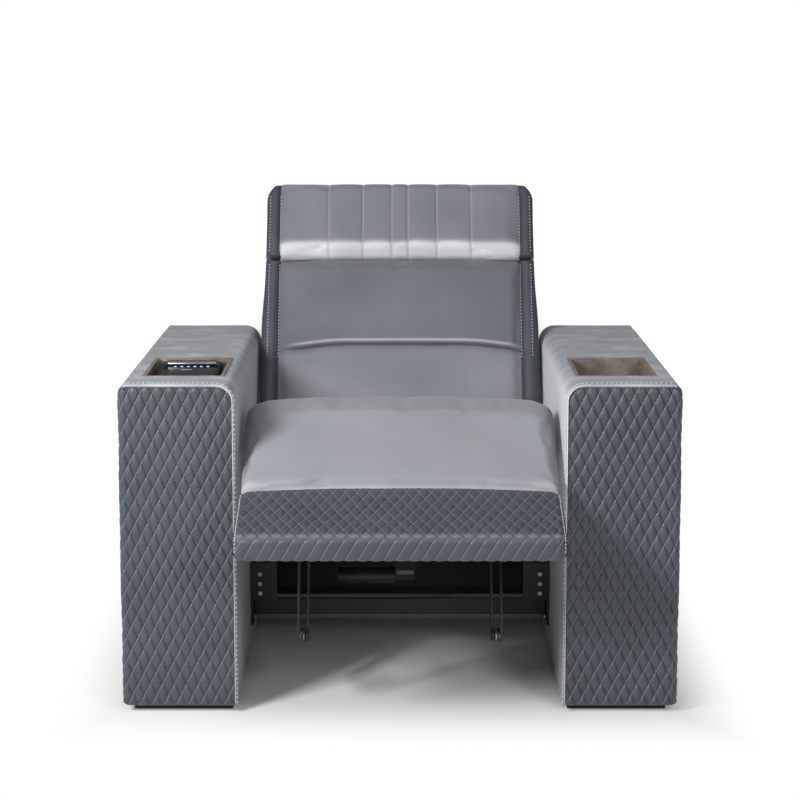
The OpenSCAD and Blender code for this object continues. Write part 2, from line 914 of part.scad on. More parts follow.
module footrest_pad() {
    nx = 22;
    ny = 12;
    half = seat_half;
    rear_top = knee_top * tan(knee_lean);
    low = foot_board_top + soft_gap;
    low_rear = low * tan(knee_lean);
    xs = cosine_steps(nx);
    ys = cosine_steps(ny);
    front = seam_y + soft_gap;
    rows = [for (v = ys)
        let (t = (v + 1) / 2, y = front + (rear_top - front) * t)
        let (rise = (knee_top - seam_top) * t + edge_draw * (sin(180 * t) - (1 - t) * (1 - t)))
        let (near = pow(t, 4) * tan(knee_lean))
        [for (u = xs)
            let (crown = (seat_crown - edge_draw) * pow(abs(u), 3) * (1 + t) / 2)
            let (fall = crown + roll_drop(u, edge_roll / 2))
            [half * u, y - near * fall, seam_top + rise - fall]]];
    color(velvet) in_footrest()
        grid_body(rows, function(p)
            let (t = (p.y - front) / (rear_top - front))
            [p.x, front + (low_rear - front) * t, low]);
}

module footrest_band() {
    columns = 2 * floor(2 * seat_half / diamond_w);
    lines = 8;
    half = seat_half;
    low = foot_board_top + soft_gap;
    top_run = seam_y - nose;
    rows = concat(
        [[for (i = [0:columns]) [half * (2 * i / columns - 1), nose + quilt_depth, low]]],
        [for (j = [0:lines])
            let (t = j / lines, rim = j == 0 || j == lines)
            [for (i = [0:columns])
                let (s = 2 * i / columns - 1, side = i == 0 || i == columns)
                let (seam = (i + j) % 2 == 0 ? quilt_depth : 0)
                let (dip = side ? quilt_depth + edge_draw : rim ? edge_draw : seam)
                [half * s, nose + quilt_depth + (top_run - quilt_depth) * t,
                    nose_top + (seam_top - nose_top) * t - dip - roll_drop(s, edge_roll / 2, 0.06)]]]
    );
    color(leather) in_footrest() {
        grid_body(rows, function(p) [p.x, min(p.y, seam_y), low]);
        for (s = [-1, 1])
            scale([s, 1, 1])
                span_box(
                    [half - edge_roll + soft_gap, nose + nose_wrap - soft_gap, foot_board_low],
                    [half - quilt_depth, seam_y - quilt_depth, low]
                );
        span_box(
            [quilt_depth - half, nose + quilt_depth, foot_board_low - nose_drop],
            [half - quilt_depth, nose + nose_wrap - soft_gap, low]
        );
    }
}

module footrest_brackets() {
    color(steel) in_footrest() both_sides() {
        side_plate(bracket_in, bracket_out)
        difference() {
            union() {
                link_outline([0, 0], bracket_end, link_w);
                translate([-bracket_l, 0]) square([bracket_l, foot_board_low]);
            }
            hole([0, 0], hinge_pin_r + run_gap);
        }
        span_box(
            [bracket_in - flange_w, -bracket_l, foot_board_low - flange_t],
            [bracket_in, -lug_r, foot_board_low]
        );
    }
}

module push_link_pins() {
    color(bright) in_footrest() both_sides() {
        cross_bar(bracket_end, push_in - link_gap / 2, bracket_in, hinge_pin_r);
        cross_bar(
            bracket_end, push_in - link_gap / 2 - flange_t / 2, push_in - link_gap / 2,
            hinge_pin_r + link_t
        );
    }
}

// Crank and push links

module crank_tube() {
    color(steel) in_seat() cross_bar(crank_axis, -rail_out - link_t, rail_out + link_t, tube_r);
}

module crank_arms() {
    color(steel) in_seat() both_sides()
    side_plate(crank_in, crank_out)
    difference() {
        union() {
            link_outline(crank_axis, crank_end, link_w);
            hole(crank_axis, hub_r);
        }
        hole(crank_axis, tube_r);
    }
}

module crank_pins() {
    color(bright) in_seat() both_sides()
        cross_bar(crank_end, crank_out, push_out, hinge_pin_r);
}

module drive_lever() {
    tip = crank_axis + drive_pin(0);
    x = footrest_drive.x;
    reach = lever_t / 2 + link_gap + cheek_t;
    color(bright) in_seat() {
        side_plate(x - lever_t / 2, x + lever_t / 2)
        difference() {
            union() {
                link_outline(crank_axis, tip, lever_w);
                hole(crank_axis, hub_r);
            }
            hole(crank_axis, tube_r);
        }
        cross_bar(tip, x - reach, x + reach, drive_pin_r);
    }
}

module push_links() {
    far = knee + from_seat(lever_arm);
    color(steel) in_seat() both_sides()
    side_plate(push_in, push_out)
    difference() {
        link_outline(crank_end, far, link_w);
        hole(crank_end, hinge_pin_r + run_gap);
        hole(far, hinge_pin_r + soft_gap);
    }
}

// Back

module back_uprights() {
    color(steel) in_back() both_sides()
        span_box([upright_in, frame_front, back_low], [upright_out, frame_rear, cross_tops[3]]);
}

module back_cross_rails() {
    color(steel) in_back()
    for (top = cross_tops)
        span_box([-upright_in, frame_front, top - cross_h], [upright_in, cover_in, top]);
}

module back_hinge_plates() {
    tail = from_back(guide);
    top = hinge_zone - boss_r;
    color(steel) in_back() both_sides() {
        side_plate(hinge_plate_in, hinge_plate_out)
        difference() {
            union() {
                link_outline([0, 0], tail, 2 * lug_r);
                link_outline([0, 0], [frame_front / 2, top], 2 * lug_r);
            }
            hole([0, 0], pin_r + run_gap);
        }
        cross_bar(tail, hinge_plate_out, arm_in - link_gap / 2, guide_pin_r);
        span_box([upright_out, frame_front, 2 * boss_r], [hinge_plate_in, frame_rear, top]);
    }
}

module back_webbing() {
    color(webbing) in_back()
    for (k = [0:back_strap_count - 1])
        span_box(
            [-upright_out, frame_front - strap_t, back_strap_first + k * back_strap_pitch - strap_w / 2],
            [upright_out, frame_front, back_strap_first + k * back_strap_pitch + strap_w / 2 - link_t]
        );
}

module back_lever() {
    tip = from_back(turned([0, -recline_lever_l], -seat_tilt));
    root = [frame_front / 2, back_low + cross_h / 2];
    x = recline_drive.x;
    reach = lever_t / 2 + link_gap + cheek_t;
    color(bright) in_back() {
        side_plate(x - lever_t / 2, x + lever_t / 2)
        difference() {
            link_outline(root, tip, lever_w);
            translate([2 * frame_front, back_low]) square([4 * boss_r, 2 * cross_h]);
        }
        cross_bar(tip, x - reach, x + reach, drive_pin_r);
    }
}

// A cushion on the back between two heights, crowned across and rolled at its lower and upper edge
module back_pad(z0, z1, rear, ny, channels = 0) {
    nx = channels > 0 ? 8 * channels : 20;
    half = velvet_half;
    ys = cosine_steps(ny);
    rows = [for (v = ys)
        [for (i = [0:nx])
            let (u = channels > 0 ? 2 * i / nx - 1 : -cos(180 * i / nx))
            let (dip = channels > 0 ? head_channel_dip * pow(abs(cos(180 * i / 8)), 6) : 0)
            let (crown = edge_draw * pow(abs(u), 3) + dip * (1 - pow(abs(v), 6)))
            [half * u,
                face_y + roll_drop(v, edge_roll, pad_roll_share) + crown,
                (z0 + z1) / 2 + (z1 - z0) / 2 * v]]];
    grid_body(rows, function(p) [p.x, rear, p.z]);
}

module lumbar_cushion() {
    color(velvet) in_back() back_pad(lumbar_low, crease - crease_gap / 2, foam_back, pad_rows);
}

module middle_cushion() {
    color(velvet) in_back()
        back_pad(crease + crease_gap / 2, head_hinge.y - head_drop, foam_back, pad_rows);
}

// Leather side of the back, drawn in behind the hinge plates and stepped back beside the headrest
module back_side_boxing() {
    inner = velvet_half + soft_gap;
    rear_top = back_h - cover_t;
    color(leather) in_back() both_sides()
    side_plate(inner, back_half)
        polygon([
            [face_y + edge_draw, boxing_low],
            [hinge_zone_y, boxing_low],
            [hinge_zone_y, hinge_zone],
            [rear_face, hinge_zone],
            [rear_face, rear_top],
            [head_board.y + edge_draw, rear_top],
            [head_board.y + edge_draw, head_low],
            [face_y + edge_draw, head_low - head_sweep]
        ]);
}

module back_rear_cover() {
    half = velvet_half;
    color(leather) in_back() {
        span_box([-half, cover_in, back_low], [half, rear_face, back_h - cover_t]);
        span_box(
            [-half, head_board.y + edge_draw, back_top_rail],
            [half, cover_in, back_top_rail + cover_t]
        );
    }
}

// Headrest

module headrest_board() {
    color(plywood) in_back()
        span_box(
            [-velvet_half, head_board.x, head_hinge.y + knuckle_r],
            [velvet_half, head_board.y, back_h - edge_roll]
        );
}

module headrest_pad() {
    side = velvet_half;
    color(velvet) in_back()
        back_pad(head_low, back_h, head_board.x - soft_gap, head_rows, head_channels);
    color(leather) in_back() both_sides()
        side_plate(side, back_half)
            polygon([
                [face_y + edge_draw, head_low + edge_draw],
                [head_board.x - soft_gap, head_low],
                [head_board.x - soft_gap, back_h - edge_roll],
                [face_y + edge_roll, back_h - edge_draw],
                [face_y + edge_draw, back_h - edge_roll]
            ]);
}

// Every second knuckle of the piano hinge, from the given one on
module knuckles(first) {
    pitch = 2 * hinge_half / hinge_parts;
    for (k = [first:2:hinge_parts - 1])
        cross_bar(head_hinge, k * pitch - hinge_half, (k + 1) * pitch - hinge_half - hinge_play, knuckle_r);
}

module headrest_hinge_base() {
    color(bright) in_back() {
        knuckles(0);
        cross_bar(head_hinge, -hinge_half, hinge_half - hinge_play, hinge_pin_small);
        span_box(
            [-hinge_half, head_hinge.x + knuckle_r + hinge_play, head_hinge.y - knuckle_r],
            [hinge_half, frame_rear, head_hinge.y - knuckle_r + leaf_t]
        );
        pitch = 2 * hinge_half / hinge_parts;
        for (k = [0:2:hinge_parts - 1])
            span_box(
                [k * pitch - hinge_half, head_hinge.x, head_hinge.y - knuckle_r],
                [(k + 1) * pitch - hinge_half - hinge_play, 0, head_hinge.y - knuckle_r + leaf_t]
            );
    }
}

module headrest_hinge_leaf() {
    pitch = 2 * hinge_half / hinge_parts;
    top = head_hinge.y + knuckle_r;
    color(bright) in_back()
    difference() {
        union() {
            knuckles(1);
            for (k = [1:2:hinge_parts - 1])
                span_box(
                    [k * pitch - hinge_half, head_hinge.x, top - leaf_t],
                    [(k + 1) * pitch - hinge_half - hinge_play, head_board.y, top]
                );
            span_box(
                [-hinge_half, head_hinge.x + knuckle_r + hinge_play, top - leaf_t],
                [hinge_half, head_board.y, top]
            );
        }
        cross_bar(head_hinge, -2 * hinge_half, 2 * hinge_half, hinge_pin_small + run_gap);
    }
}

left_side() arm_carcass();  // left_arm_carcass
arm_carcass();  // right_arm_carcass
left_side() arm_velvet();  // left_arm_velvet
arm_velvet();  // right_arm_velvet
left_side() arm_front_quilt();  // left_arm_front_quilt
arm_front_quilt();  // right_arm_front_quilt
left_side() arm_leather();  // left_arm_leather
arm_leather();  // right_arm_leather
arm_skids();
left_side() arm_box();  // left_arm_box
arm_box();  // right_arm_box
console_housing();
console_glass();
console_icons();
console_lid();
console_hinge_pin();
base_tube(front_tube_back, tube_low, tube_low + tube);  // base_front_tube
base_tube(rear_tube_back, rear_tube_low, rear_tube_top);  // base_rear_tube
base_front_brackets();
base_side_plates();
arm_bolts();
tilt_pivot_pins();
seat_side_rails();
seat_cross_rails();
seat_side_plates();
seat_webbing();
seat_cushion();
back_pivot_pins();
footrest_hinge_lugs();
footrest_hinge_pins();
footrest_motor();
recline_motor();
actuator_gearboxes();
actuator_rails();
actuator_brackets();
footrest_nut();
recline_nut();
footrest_board();
footrest_pad();
footrest_band();
footrest_brackets();
push_link_pins();
crank_tube();
crank_arms();
crank_pins();
drive_lever();
push_links();
back_uprights();
back_cross_rails();
back_hinge_plates();
back_webbing();
back_lever();
lumbar_cushion();
middle_cushion();
back_side_boxing();
back_rear_cover();
headrest_board();
headrest_pad();
headrest_hinge_leaf();
headrest_hinge_base();
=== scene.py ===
import json
import math

import bpy
import numpy as np
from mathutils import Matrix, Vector


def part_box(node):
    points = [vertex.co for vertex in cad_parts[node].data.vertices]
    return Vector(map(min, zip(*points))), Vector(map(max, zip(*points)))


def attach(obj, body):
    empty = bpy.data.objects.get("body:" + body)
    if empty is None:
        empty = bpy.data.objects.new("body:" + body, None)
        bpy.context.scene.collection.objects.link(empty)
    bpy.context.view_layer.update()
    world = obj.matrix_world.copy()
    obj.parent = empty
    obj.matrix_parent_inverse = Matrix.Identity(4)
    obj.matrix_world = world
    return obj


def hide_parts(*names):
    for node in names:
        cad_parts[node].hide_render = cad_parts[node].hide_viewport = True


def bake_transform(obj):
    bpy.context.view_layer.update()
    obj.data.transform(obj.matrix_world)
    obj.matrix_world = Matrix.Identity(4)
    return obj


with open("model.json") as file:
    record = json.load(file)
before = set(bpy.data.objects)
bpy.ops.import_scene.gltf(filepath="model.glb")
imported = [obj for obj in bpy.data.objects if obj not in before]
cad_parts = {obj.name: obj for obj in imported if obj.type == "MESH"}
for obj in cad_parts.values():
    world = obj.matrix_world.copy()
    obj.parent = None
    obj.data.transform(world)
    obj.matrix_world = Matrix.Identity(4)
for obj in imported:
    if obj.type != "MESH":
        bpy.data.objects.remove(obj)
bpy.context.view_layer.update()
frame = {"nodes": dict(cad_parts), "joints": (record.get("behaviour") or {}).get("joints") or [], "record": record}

# Lengths are written in millimetres and turned to metres where a mesh is made.
MM = 0.001
JOINT = {j["name"]: j for j in frame["joints"]}
NODES = frame["nodes"]


def joint_point(name):
    """The [y, z] place of a hinge, in millimetres."""
    return np.array(JOINT[name]["pos_m"][1:]) / MM


def cad_box(name):
    """Lowest and highest corner of a CAD node, in millimetres."""
    low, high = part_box(name)
    return np.array(low) / MM, np.array(high) / MM


# Arms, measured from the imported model
VELVET_LOW, VELVET_HIGH = cad_box("right_arm_velvet")
_, LEATHER_HIGH = cad_box("right_arm_leather")
QUILT_LOW, _ = cad_box("right_arm_front_quilt")
BOX_LOW, BOX_HIGH = cad_box("right_arm_box")
FRONT_Y = QUILT_LOW[1]
REAR_Y = LEATHER_HIGH[1]
ARM_IN = VELVET_LOW[0]
ARM_OUT = LEATHER_HIGH[0]
ARM_TOP = VELVET_HIGH[2]
ARM_LOW = VELVET_LOW[2]

# Hinges and the lean of the moving parts at rest, in degrees
BACK_HINGE = joint_point("back_recline")
KNEE = joint_point("footrest_swing")
BACK_TILT = 30
FOOTREST_DROP = 18

# Quilting of the leather: size of a diamond, depth of a seam, and how soon the leather rises beside it
DIAMOND_W = 22.3
DIAMOND_H = 43.5
QUILT_DEPTH = 4
SEAM_FALL = 2.2

# Back and headrest, along the back from its hinge: half widths with and without the leather sides, the
# velvet's face, the crease between the cushions, and the headrest's ends
BACK_HALF = 289
VELVET_HALF = 265.5
FACE_Y = -99
CREASE = 176
HEAD_LOW = 386
HEAD_TOP = 566


# Frames of the parts that lean

def turned(y, z, degrees):
    """Turns side-view coordinates about the X axis, the front downwards for a positive angle."""
    c, s = math.cos(math.radians(degrees)), math.sin(math.radians(degrees))
    return y * c - z * s, y * s + z * c


def lean(points, hinge, degrees):
    """Puts points that are measured from a hinge along a leaning part into the row frame."""
    p = np.array(points, float)
    y, z = turned(p[..., 1], p[..., 2], degrees)
    return np.stack([p[..., 0], y + hinge[0], z + hinge[1]], -1)


def unlean(points, hinge, degrees):
    """Measures points of the row frame from a hinge along a leaning part."""
    p = np.array(points, float)
    y, z = turned(p[..., 1] - hinge[0], p[..., 2] - hinge[1], -degrees)
    return np.stack([p[..., 0], y, z], -1)


def on_back(points):
    """Puts points measured along the back into the row frame."""
    return lean(points, BACK_HINGE, -BACK_TILT)


def on_footrest(points):
    """Puts points measured along the footrest into the row frame."""
    return lean(points, KNEE, FOOTREST_DROP)


# Meshes

def xyz(x, y, z):
    """Points from coordinates that are carried over each other's rows and columns."""
    return np.stack(np.broadcast_arrays(x, y, z), -1)


def steps(a, b, n):
    """n even steps from a that stop short of b."""
    return np.linspace(a, b, n, endpoint=False)


def placed(name, data):
    """An object in the scene, at the origin, that shows a mesh, a lamp or a camera."""
    made = bpy.data.objects.new(name, data)
    bpy.context.scene.collection.objects.link(made)
    return made


def new_piece(name, points, faces, material, slot, body=None, replaces=(), smooth=True):
    """A mesh object at the origin from points in millimetres, riding on a body and standing for CAD nodes."""
    mesh = bpy.data.meshes.new(name)
    mesh.from_pydata((np.asarray(points, float).reshape(-1, 3) * MM).tolist(), [], faces)
    mesh.update()
    mesh.polygons.foreach_set("use_smooth", [smooth] * len(mesh.polygons))
    mesh.materials.append(material)
    piece = placed(name, mesh)
    if body:
        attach(piece, body)
    if replaces:
        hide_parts(*replaces)
    return piece


def grid_faces(rows, cols, closed=False, looped=False):
    """Quads between the neighbours of a grid, going round its columns where it is closed, and round its rows
    where it is looped."""
    i = np.arange(rows if looped else rows - 1)[:, None]
    j = np.arange(cols if closed else cols - 1)
    after, beside = (i + 1) % rows, (j + 1) % cols
    quads = np.stack([i * cols + j, i * cols + beside, after * cols + beside, after * cols + j], -1)
    return quads.reshape(-1, 4).tolist()


def tube(rings):
    """Points and faces of a closed form: rings of points, one after another, with a flat face at each end."""
    rows, cols = rings.shape[:2]
    faces = grid_faces(rows, cols, closed=True)
    faces.append(list(range(cols))[::-1])
    faces.append([(rows - 1) * cols + j for j in range(cols)])
    return rings.reshape(-1, 3), faces


def backed_grid(grid, back):
    """Points and faces of a closed sheet: an outer grid, a rim down to a ring of back points, and a back of
    one strip for each column of the grid. back gives the ring point for each point of the grid's border."""
    rows, cols = grid.shape[:2]
    ring = [(0, j) for j in range(cols)] + [(i, cols - 1) for i in range(1, rows)]
    ring += [(rows - 1, j) for j in range(cols - 2, -1, -1)] + [(i, 0) for i in range(rows - 2, 0, -1)]
    edge = [i * cols + j for i, j in ring]
    start, count = rows * cols, len(ring)
    at = {cell: start + k for k, cell in enumerate(ring)}
    points = np.concatenate([grid.reshape(-1, 3), back.reshape(-1, 3)[edge]])
    faces = grid_faces(rows, cols)
    for k in range(count):
        after = (k + 1) % count
        faces.append([edge[k], start + k, start + after, edge[after]])
    for j in range(cols - 1):
        left = [at[(i, 0)] for i in range(1, rows - 1)] if j == 0 else []
        right = [at[(i, cols - 1)] for i in range(rows - 2, 0, -1)] if j == cols - 2 else []
        faces.append([at[(0, j + 1)], at[(0, j)], *left, at[(rows - 1, j)], at[(rows - 1, j + 1)], *right])
    return points, faces


def turned_over(faces):
    """The same faces, looking the other way."""
    return [face[::-1] for face in faces]


def mirrored(points, faces):
    """The same shape on the other side, with its faces turned to point outwards again."""
    return np.array(points, float) * (-1, 1, 1), turned_over(faces)


def joined(*shapes):
    """Several point and face lists as one."""
    points, faces, start = [], [], 0
    for p, f in shapes:
        p = np.asarray(p, float).reshape(-1, 3)
        points.append(p)
        faces += [[v + start for v in face] for face in f]
        start += len(p)
    return np.concatenate(points), faces


def run_of(path):
    """How far along a path each of its points lies."""
    return np.concatenate([[0], np.cumsum(np.linalg.norm(np.diff(path, axis=0), axis=1))])


def smooth_step(t):
    """0 below 0, 1 above 1, and an even curve between."""
    t = np.clip(t, 0, 1)
    return t * t * (3 - 2 * t)


def bell(t):
    """1 at 0, and an even fall to nothing on both sides: exp(-t^2)."""
    return np.exp(-t ** 2)


def roll(s, r, share):
    """How far a rounded edge has fallen at s, which is 1 at the edge itself: r - r * sqrt(1 - t^2), where t
    goes from 0 to 1 over the last share of s."""
    t = np.clip((np.abs(s) - 1 + share) / share, 0, 1)
    return r * (1 - np.sqrt(1 - t * t))


def waves(x, y, size, seed):
    """Even, gentle unevenness between -1 and 1: the mean of five sine waves of about one size, turned apart.
    The seed picks their directions, phases and lengths."""
    rng = np.random.default_rng(seed)
    total = np.zeros(np.broadcast(x, y).shape)
    count = 5
    for _ in range(count):
        a, phase = rng.uniform(0, 2 * np.pi), rng.uniform(0, 2 * np.pi)
        k = 2 * np.pi / (size * rng.uniform(0.7, 1.4))
        total = total + np.sin((x * np.cos(a) + y * np.sin(a)) * k + phase)
    return total / count


def quilting(s, t, crossed=1):
    """How far quilted leather lies below its peaks. Seams lie where s/w + t/h is whole and, as far as
    crossed is 1, where s/w - t/h is whole. The leather rises from each by 1 - exp(-distance / SEAM_FALL),
    and by the root of the sines in between."""
    a = s / DIAMOND_W + t / DIAMOND_H
    b = s / DIAMOND_W - t / DIAMOND_H
    apart = 1 / math.hypot(1 / DIAMOND_W, 1 / DIAMOND_H)
    near_a = 1 - np.exp(-np.abs(a - np.round(a)) * apart / SEAM_FALL)
    near_b = 1 - crossed * np.exp(-np.abs(b - np.round(b)) * apart / SEAM_FALL)
    arch_b = 1 - crossed * (1 - np.abs(np.sin(np.pi * b)))
    middle = np.sqrt(np.abs(np.sin(np.pi * a)) * arch_b)
    return QUILT_DEPTH * (1 - near_a * near_b * (0.6 + 0.4 * middle))


# A stitch from end to end: its place along the thread, how fat it is there, and how high it stands
STITCH_FORM = ((-0.5, 0.25, -0.5), (-0.3, 0.9, 0.4), (0.3, 0.9, 0.4), (0.5, 0.25, -0.5))


def unit(vectors):
    """The vectors, each made one long."""
    return vectors / np.linalg.norm(vectors, axis=-1, keepdims=True)


def stitches(path, normals, pitch=7.5, length=4.6, r=0.8, lift=0.1):
    """Short threads along a path: each is a six-sided spindle that rises out of the cloth and goes back in.
    Its rings are r * fat * (side * cos + up * sin) about centres along the path."""
    path, normals = np.asarray(path, float), np.asarray(normals, float)
    run = run_of(path)
    centres = np.arange(pitch / 2, run[-1] - pitch / 2, pitch)

    def at(values, d):
        return xyz(*[np.interp(d, run, column) for column in values.T])

    up = unit(at(normals, centres))
    along = unit(at(path, centres + length / 2) - at(path, centres - length / 2))
    side = np.cross(along, up)
    angle = (np.arange(6) * np.pi / 3)[:, None]
    rings = []
    for place, fat, high in STITCH_FORM:
        centre = at(path, centres) + along * place * length + up * (lift + r * high)
        outward = side[:, None] * np.cos(angle) + up[:, None] * np.sin(angle)
        rings.append(centre[:, None] + r * fat * outward)
    points, faces = joined(*[tube(spindle) for spindle in np.stack(rings, 1)])
    return points, turned_over(faces)


# Materials

# Sockets of a Mix node that is set to mix colours
FIRST, SECOND, MIXED = 6, 7, 2


def srgb(code):
    """A hex colour as linear red, green, blue and alpha."""
    values = [int(code[k:k + 2], 16) / 255 for k in (1, 3, 5)]
    return (*[v / 12.92 if v <= 0.04045 else ((v + 0.055) / 1.055) ** 2.4 for v in values], 1)


def fill(node, inputs):
    """Gives a node's inputs their values, or links them to a socket or to another node's first output."""
    for key, value in inputs.items():
        if isinstance(value, bpy.types.Node):
            value = value.outputs[0]
        if isinstance(value, bpy.types.NodeSocket):
            node.id_data.links.new(value, node.inputs[key])
        else:
            node.inputs[key].default_value = value


def add(tree, kind, inputs=None, stops=(), **settings):
    """Adds a shader node, makes its settings and fills its inputs. stops are the places and hex colours of
    a colour ramp."""
    node = tree.nodes.new("ShaderNode" + kind)
    for key, value in settings.items():
        setattr(node, key, value)
    if stops:
        elements = node.color_ramp.elements
        while len(elements) < len(stops):
            elements.new(0.5)
        for element, (place, code) in zip(elements, stops):
            element.position = place
            element.color = srgb(code)
    fill(node, inputs or {})
    return node


def scale_of(size_mm):
    """The scale of a pattern whose features are this far apart on Object coordinates, which are in metres."""
    return 1 / (size_mm * MM)


def new_material(name):
    """An empty material: its nodes, its Principled shader and its Object coordinates."""
    material = bpy.data.materials.new(name)
    material.use_nodes = True
    tree = material.node_tree
    return material, tree, tree.nodes["Principled BSDF"], add(tree, "TexCoord").outputs["Object"]


def velvet(name):
    """Short-pile upholstery velvet: matt, with a soft sheen at grazing light and a fine nap. Its colour goes
    from dark to light by an attribute that holds the pile's own tone and painted light: painted highlights
    where a part faces the lamps and painted shade where it is turned from them. Broad patches and finer
    streaks of tone are added to it, and the crease attribute paints shade into seams and folds."""
    material, tree, shader, place = new_material(name)
    patches = add(tree, "TexNoise", {"Vector": place, "Scale": scale_of(110), "Detail": 3, "Roughness": 0.55})
    drawn_out = add(tree, "Mapping", {"Vector": place, "Scale": (0.45, 1, 1)})
    streaks = add(tree, "TexNoise", {
        "Vector": drawn_out, "Scale": scale_of(34), "Detail": 4, "Roughness": 0.6})
    # Painted light: this attribute lightens the velvet where a part faces the lamps and darkens it where it is
    # turned away, on top of the pile's own tone
    total = add(tree, "Attribute", attribute_name="pile_and_painted_light").outputs["Fac"]
    for noise, amount in ((patches, 0.16), (streaks, 0.07)):
        centred = add(tree, "Math", {0: noise, 1: -0.5}, operation="ADD")
        total = add(tree, "Math", {0: centred, 1: amount, 2: total}, operation="MULTIPLY_ADD")
    colour = add(tree, "ValToRGB", {"Fac": total}, [(0.0, "#6A6D74"), (0.5, "#989AA0"), (1.0, "#E2E3E6")])
    # Painted shade: the crease attribute darkens the colour towards #3C3E44 in seams and folds
    crease = add(tree, "Attribute", attribute_name="crease").outputs["Fac"]
    shaded = add(tree, "Mix", {"Factor": crease, FIRST: colour, SECOND: srgb("#3C3E44")}, data_type="RGBA")
    cloth = add(tree, "TexNoise", {"Vector": place, "Scale": scale_of(9), "Detail": 3})
    soft = add(tree, "Bump", {"Height": cloth, "Distance": 0.35 * MM, "Strength": 0.5})
    nap = add(tree, "TexNoise", {"Vector": place, "Scale": scale_of(1.4)})
    brushed = add(tree, "Bump", {"Height": nap, "Distance": 0.18 * MM, "Strength": 0.55, "Normal": soft})
    fill(shader, {"Base Color": shaded.outputs[MIXED], "Normal": brushed, "Roughness": 0.85,
                  "Specular IOR Level": 0.25, "Sheen Weight": 0.3, "Sheen Roughness": 0.35,
                  "Sheen Tint": srgb("#E4E8EE")})
    return material


def quilting_thread(tree, colour, normal, lit_and_shaded_threads):
    """The colour and the relief of quilted leather. Its diamonds map counts diamonds: each seam, where u - v
    or u + v is whole, pulls a narrow crease into the leather, and a thread lies there in dashes, five to a
    diamond. The second kind of seam lies only where the crossed attribute is 1."""
    # Painted highlight: an attribute mixes the leather towards a paler #7A8089 along the ridge of the band's nose
    ridge_highlight = add(tree, "Attribute", attribute_name="ridge_highlight").outputs["Fac"]
    highlighted_ridge = add(tree, "Mix", {"Factor": ridge_highlight, FIRST: colour, SECOND: srgb("#7A8089")}, data_type="RGBA")
    colour = highlighted_ridge.outputs[MIXED]
    diamonds = add(tree, "SeparateXYZ", {"Vector": add(tree, "UVMap", uv_map="diamonds")})
    u, v = diamonds.outputs[0], diamonds.outputs[1]
    crossed = add(tree, "Attribute", attribute_name="crossed").outputs["Fac"]
    lone = add(tree, "Math", {0: 1.0, 1: crossed}, operation="SUBTRACT")
    # Each kind of seam gets its own thread colour, painted lighter or darker for the light on it
    for across, along, thread, off in (
            ("SUBTRACT", "ADD", lit_and_shaded_threads[0], 0.0), ("ADD", "SUBTRACT", lit_and_shaded_threads[1], lone)):
        line = add(tree, "Math", {0: u, 1: v}, operation=across)
        nearest = add(tree, "Math", {0: line, 1: 0.5}, operation="PINGPONG")
        away = add(tree, "Math", {0: nearest, 1: off}, operation="MAXIMUM")
        on_line = add(tree, "MapRange", {
            "Value": away, "From Min": 0.022, "From Max": 0.05, "To Min": 1.0, "To Max": 0.0})
        run = add(tree, "Math", {0: u, 1: v}, operation=along)
        beat = add(tree, "Math", {0: run, 1: 5.0}, operation="MULTIPLY")
        dash = add(tree, "Math", {0: beat, 1: 0.5}, operation="PINGPONG")
        shown = add(tree, "MapRange", {"Value": dash, "From Min": 0.17, "From Max": 0.24})
        mask = add(tree, "Math", {0: on_line, 1: shown}, operation="MULTIPLY")
        threaded = add(tree, "Mix", {"Factor": mask, FIRST: colour, SECOND: srgb(thread)}, data_type="RGBA")
        colour = threaded.outputs[MIXED]
        crease = add(tree, "MapRange", {"Value": away, "From Max": 0.13}, interpolation_type="SMOOTHSTEP")
        normal = add(tree, "Bump", {
            "Height": crease, "Distance": 1.3 * MM, "Strength": 0.8, "Normal": normal})
    return colour, normal


def leather(name, lit_and_shaded_threads=()):
    """Coated upholstery leather: slate blue-grey, a fine pebble grain, semi-matt, a little uneven in
    colour and gloss. The last argument gives the colours of the quilting thread in the seams that rise to
    the right and in those that fall to the right; each is painted lighter as a highlight or darker as shade
    for how the light falls on that kind of seam."""
    material, tree, shader, place = new_material(name)
    cloud = add(tree, "TexNoise", {"Vector": place, "Scale": scale_of(70), "Detail": 4, "Roughness": 0.6})
    colour = add(tree, "ValToRGB", {"Fac": cloud}, [(0.3, "#40444B"), (0.7, "#4A4F57")])
    pebbles = add(tree, "TexVoronoi", {"Vector": place, "Scale": scale_of(1.6)}, feature="F1")
    grain = add(tree, "Bump", {"Height": pebbles, "Distance": 0.3 * MM, "Strength": 0.4})
    hide = add(tree, "TexNoise", {"Vector": place, "Scale": scale_of(6), "Detail": 3})
    normal = add(tree, "Bump", {"Height": hide, "Distance": 0.3 * MM, "Strength": 0.4, "Normal": grain})
    if lit_and_shaded_threads:
        colour, normal = quilting_thread(tree, colour, normal, lit_and_shaded_threads)
    wear = add(tree, "TexNoise", {"Vector": place, "Scale": scale_of(14), "Detail": 3})
    rough = add(tree, "MapRange", {"Value": wear, "To Min": 0.36, "To Max": 0.52})
    fill(shader, {"Base Color": colour, "Normal": normal, "Roughness": rough, "IOR": 1.48})
    return material


def sewing_thread(name, code):
    """Twisted polyester sewing thread: a slight gloss on bright fibre."""
    material, tree, shader, place = new_material(name)
    twist = add(tree, "TexNoise", {"Vector": place, "Scale": scale_of(0.9), "Detail": 1})
    fibre = add(tree, "ValToRGB", {"Fac": twist}, [(0.3, code), (0.8, "#F2F2F0")])
    fill(shader, {"Base Color": fibre, "Roughness": 0.55})
    return material


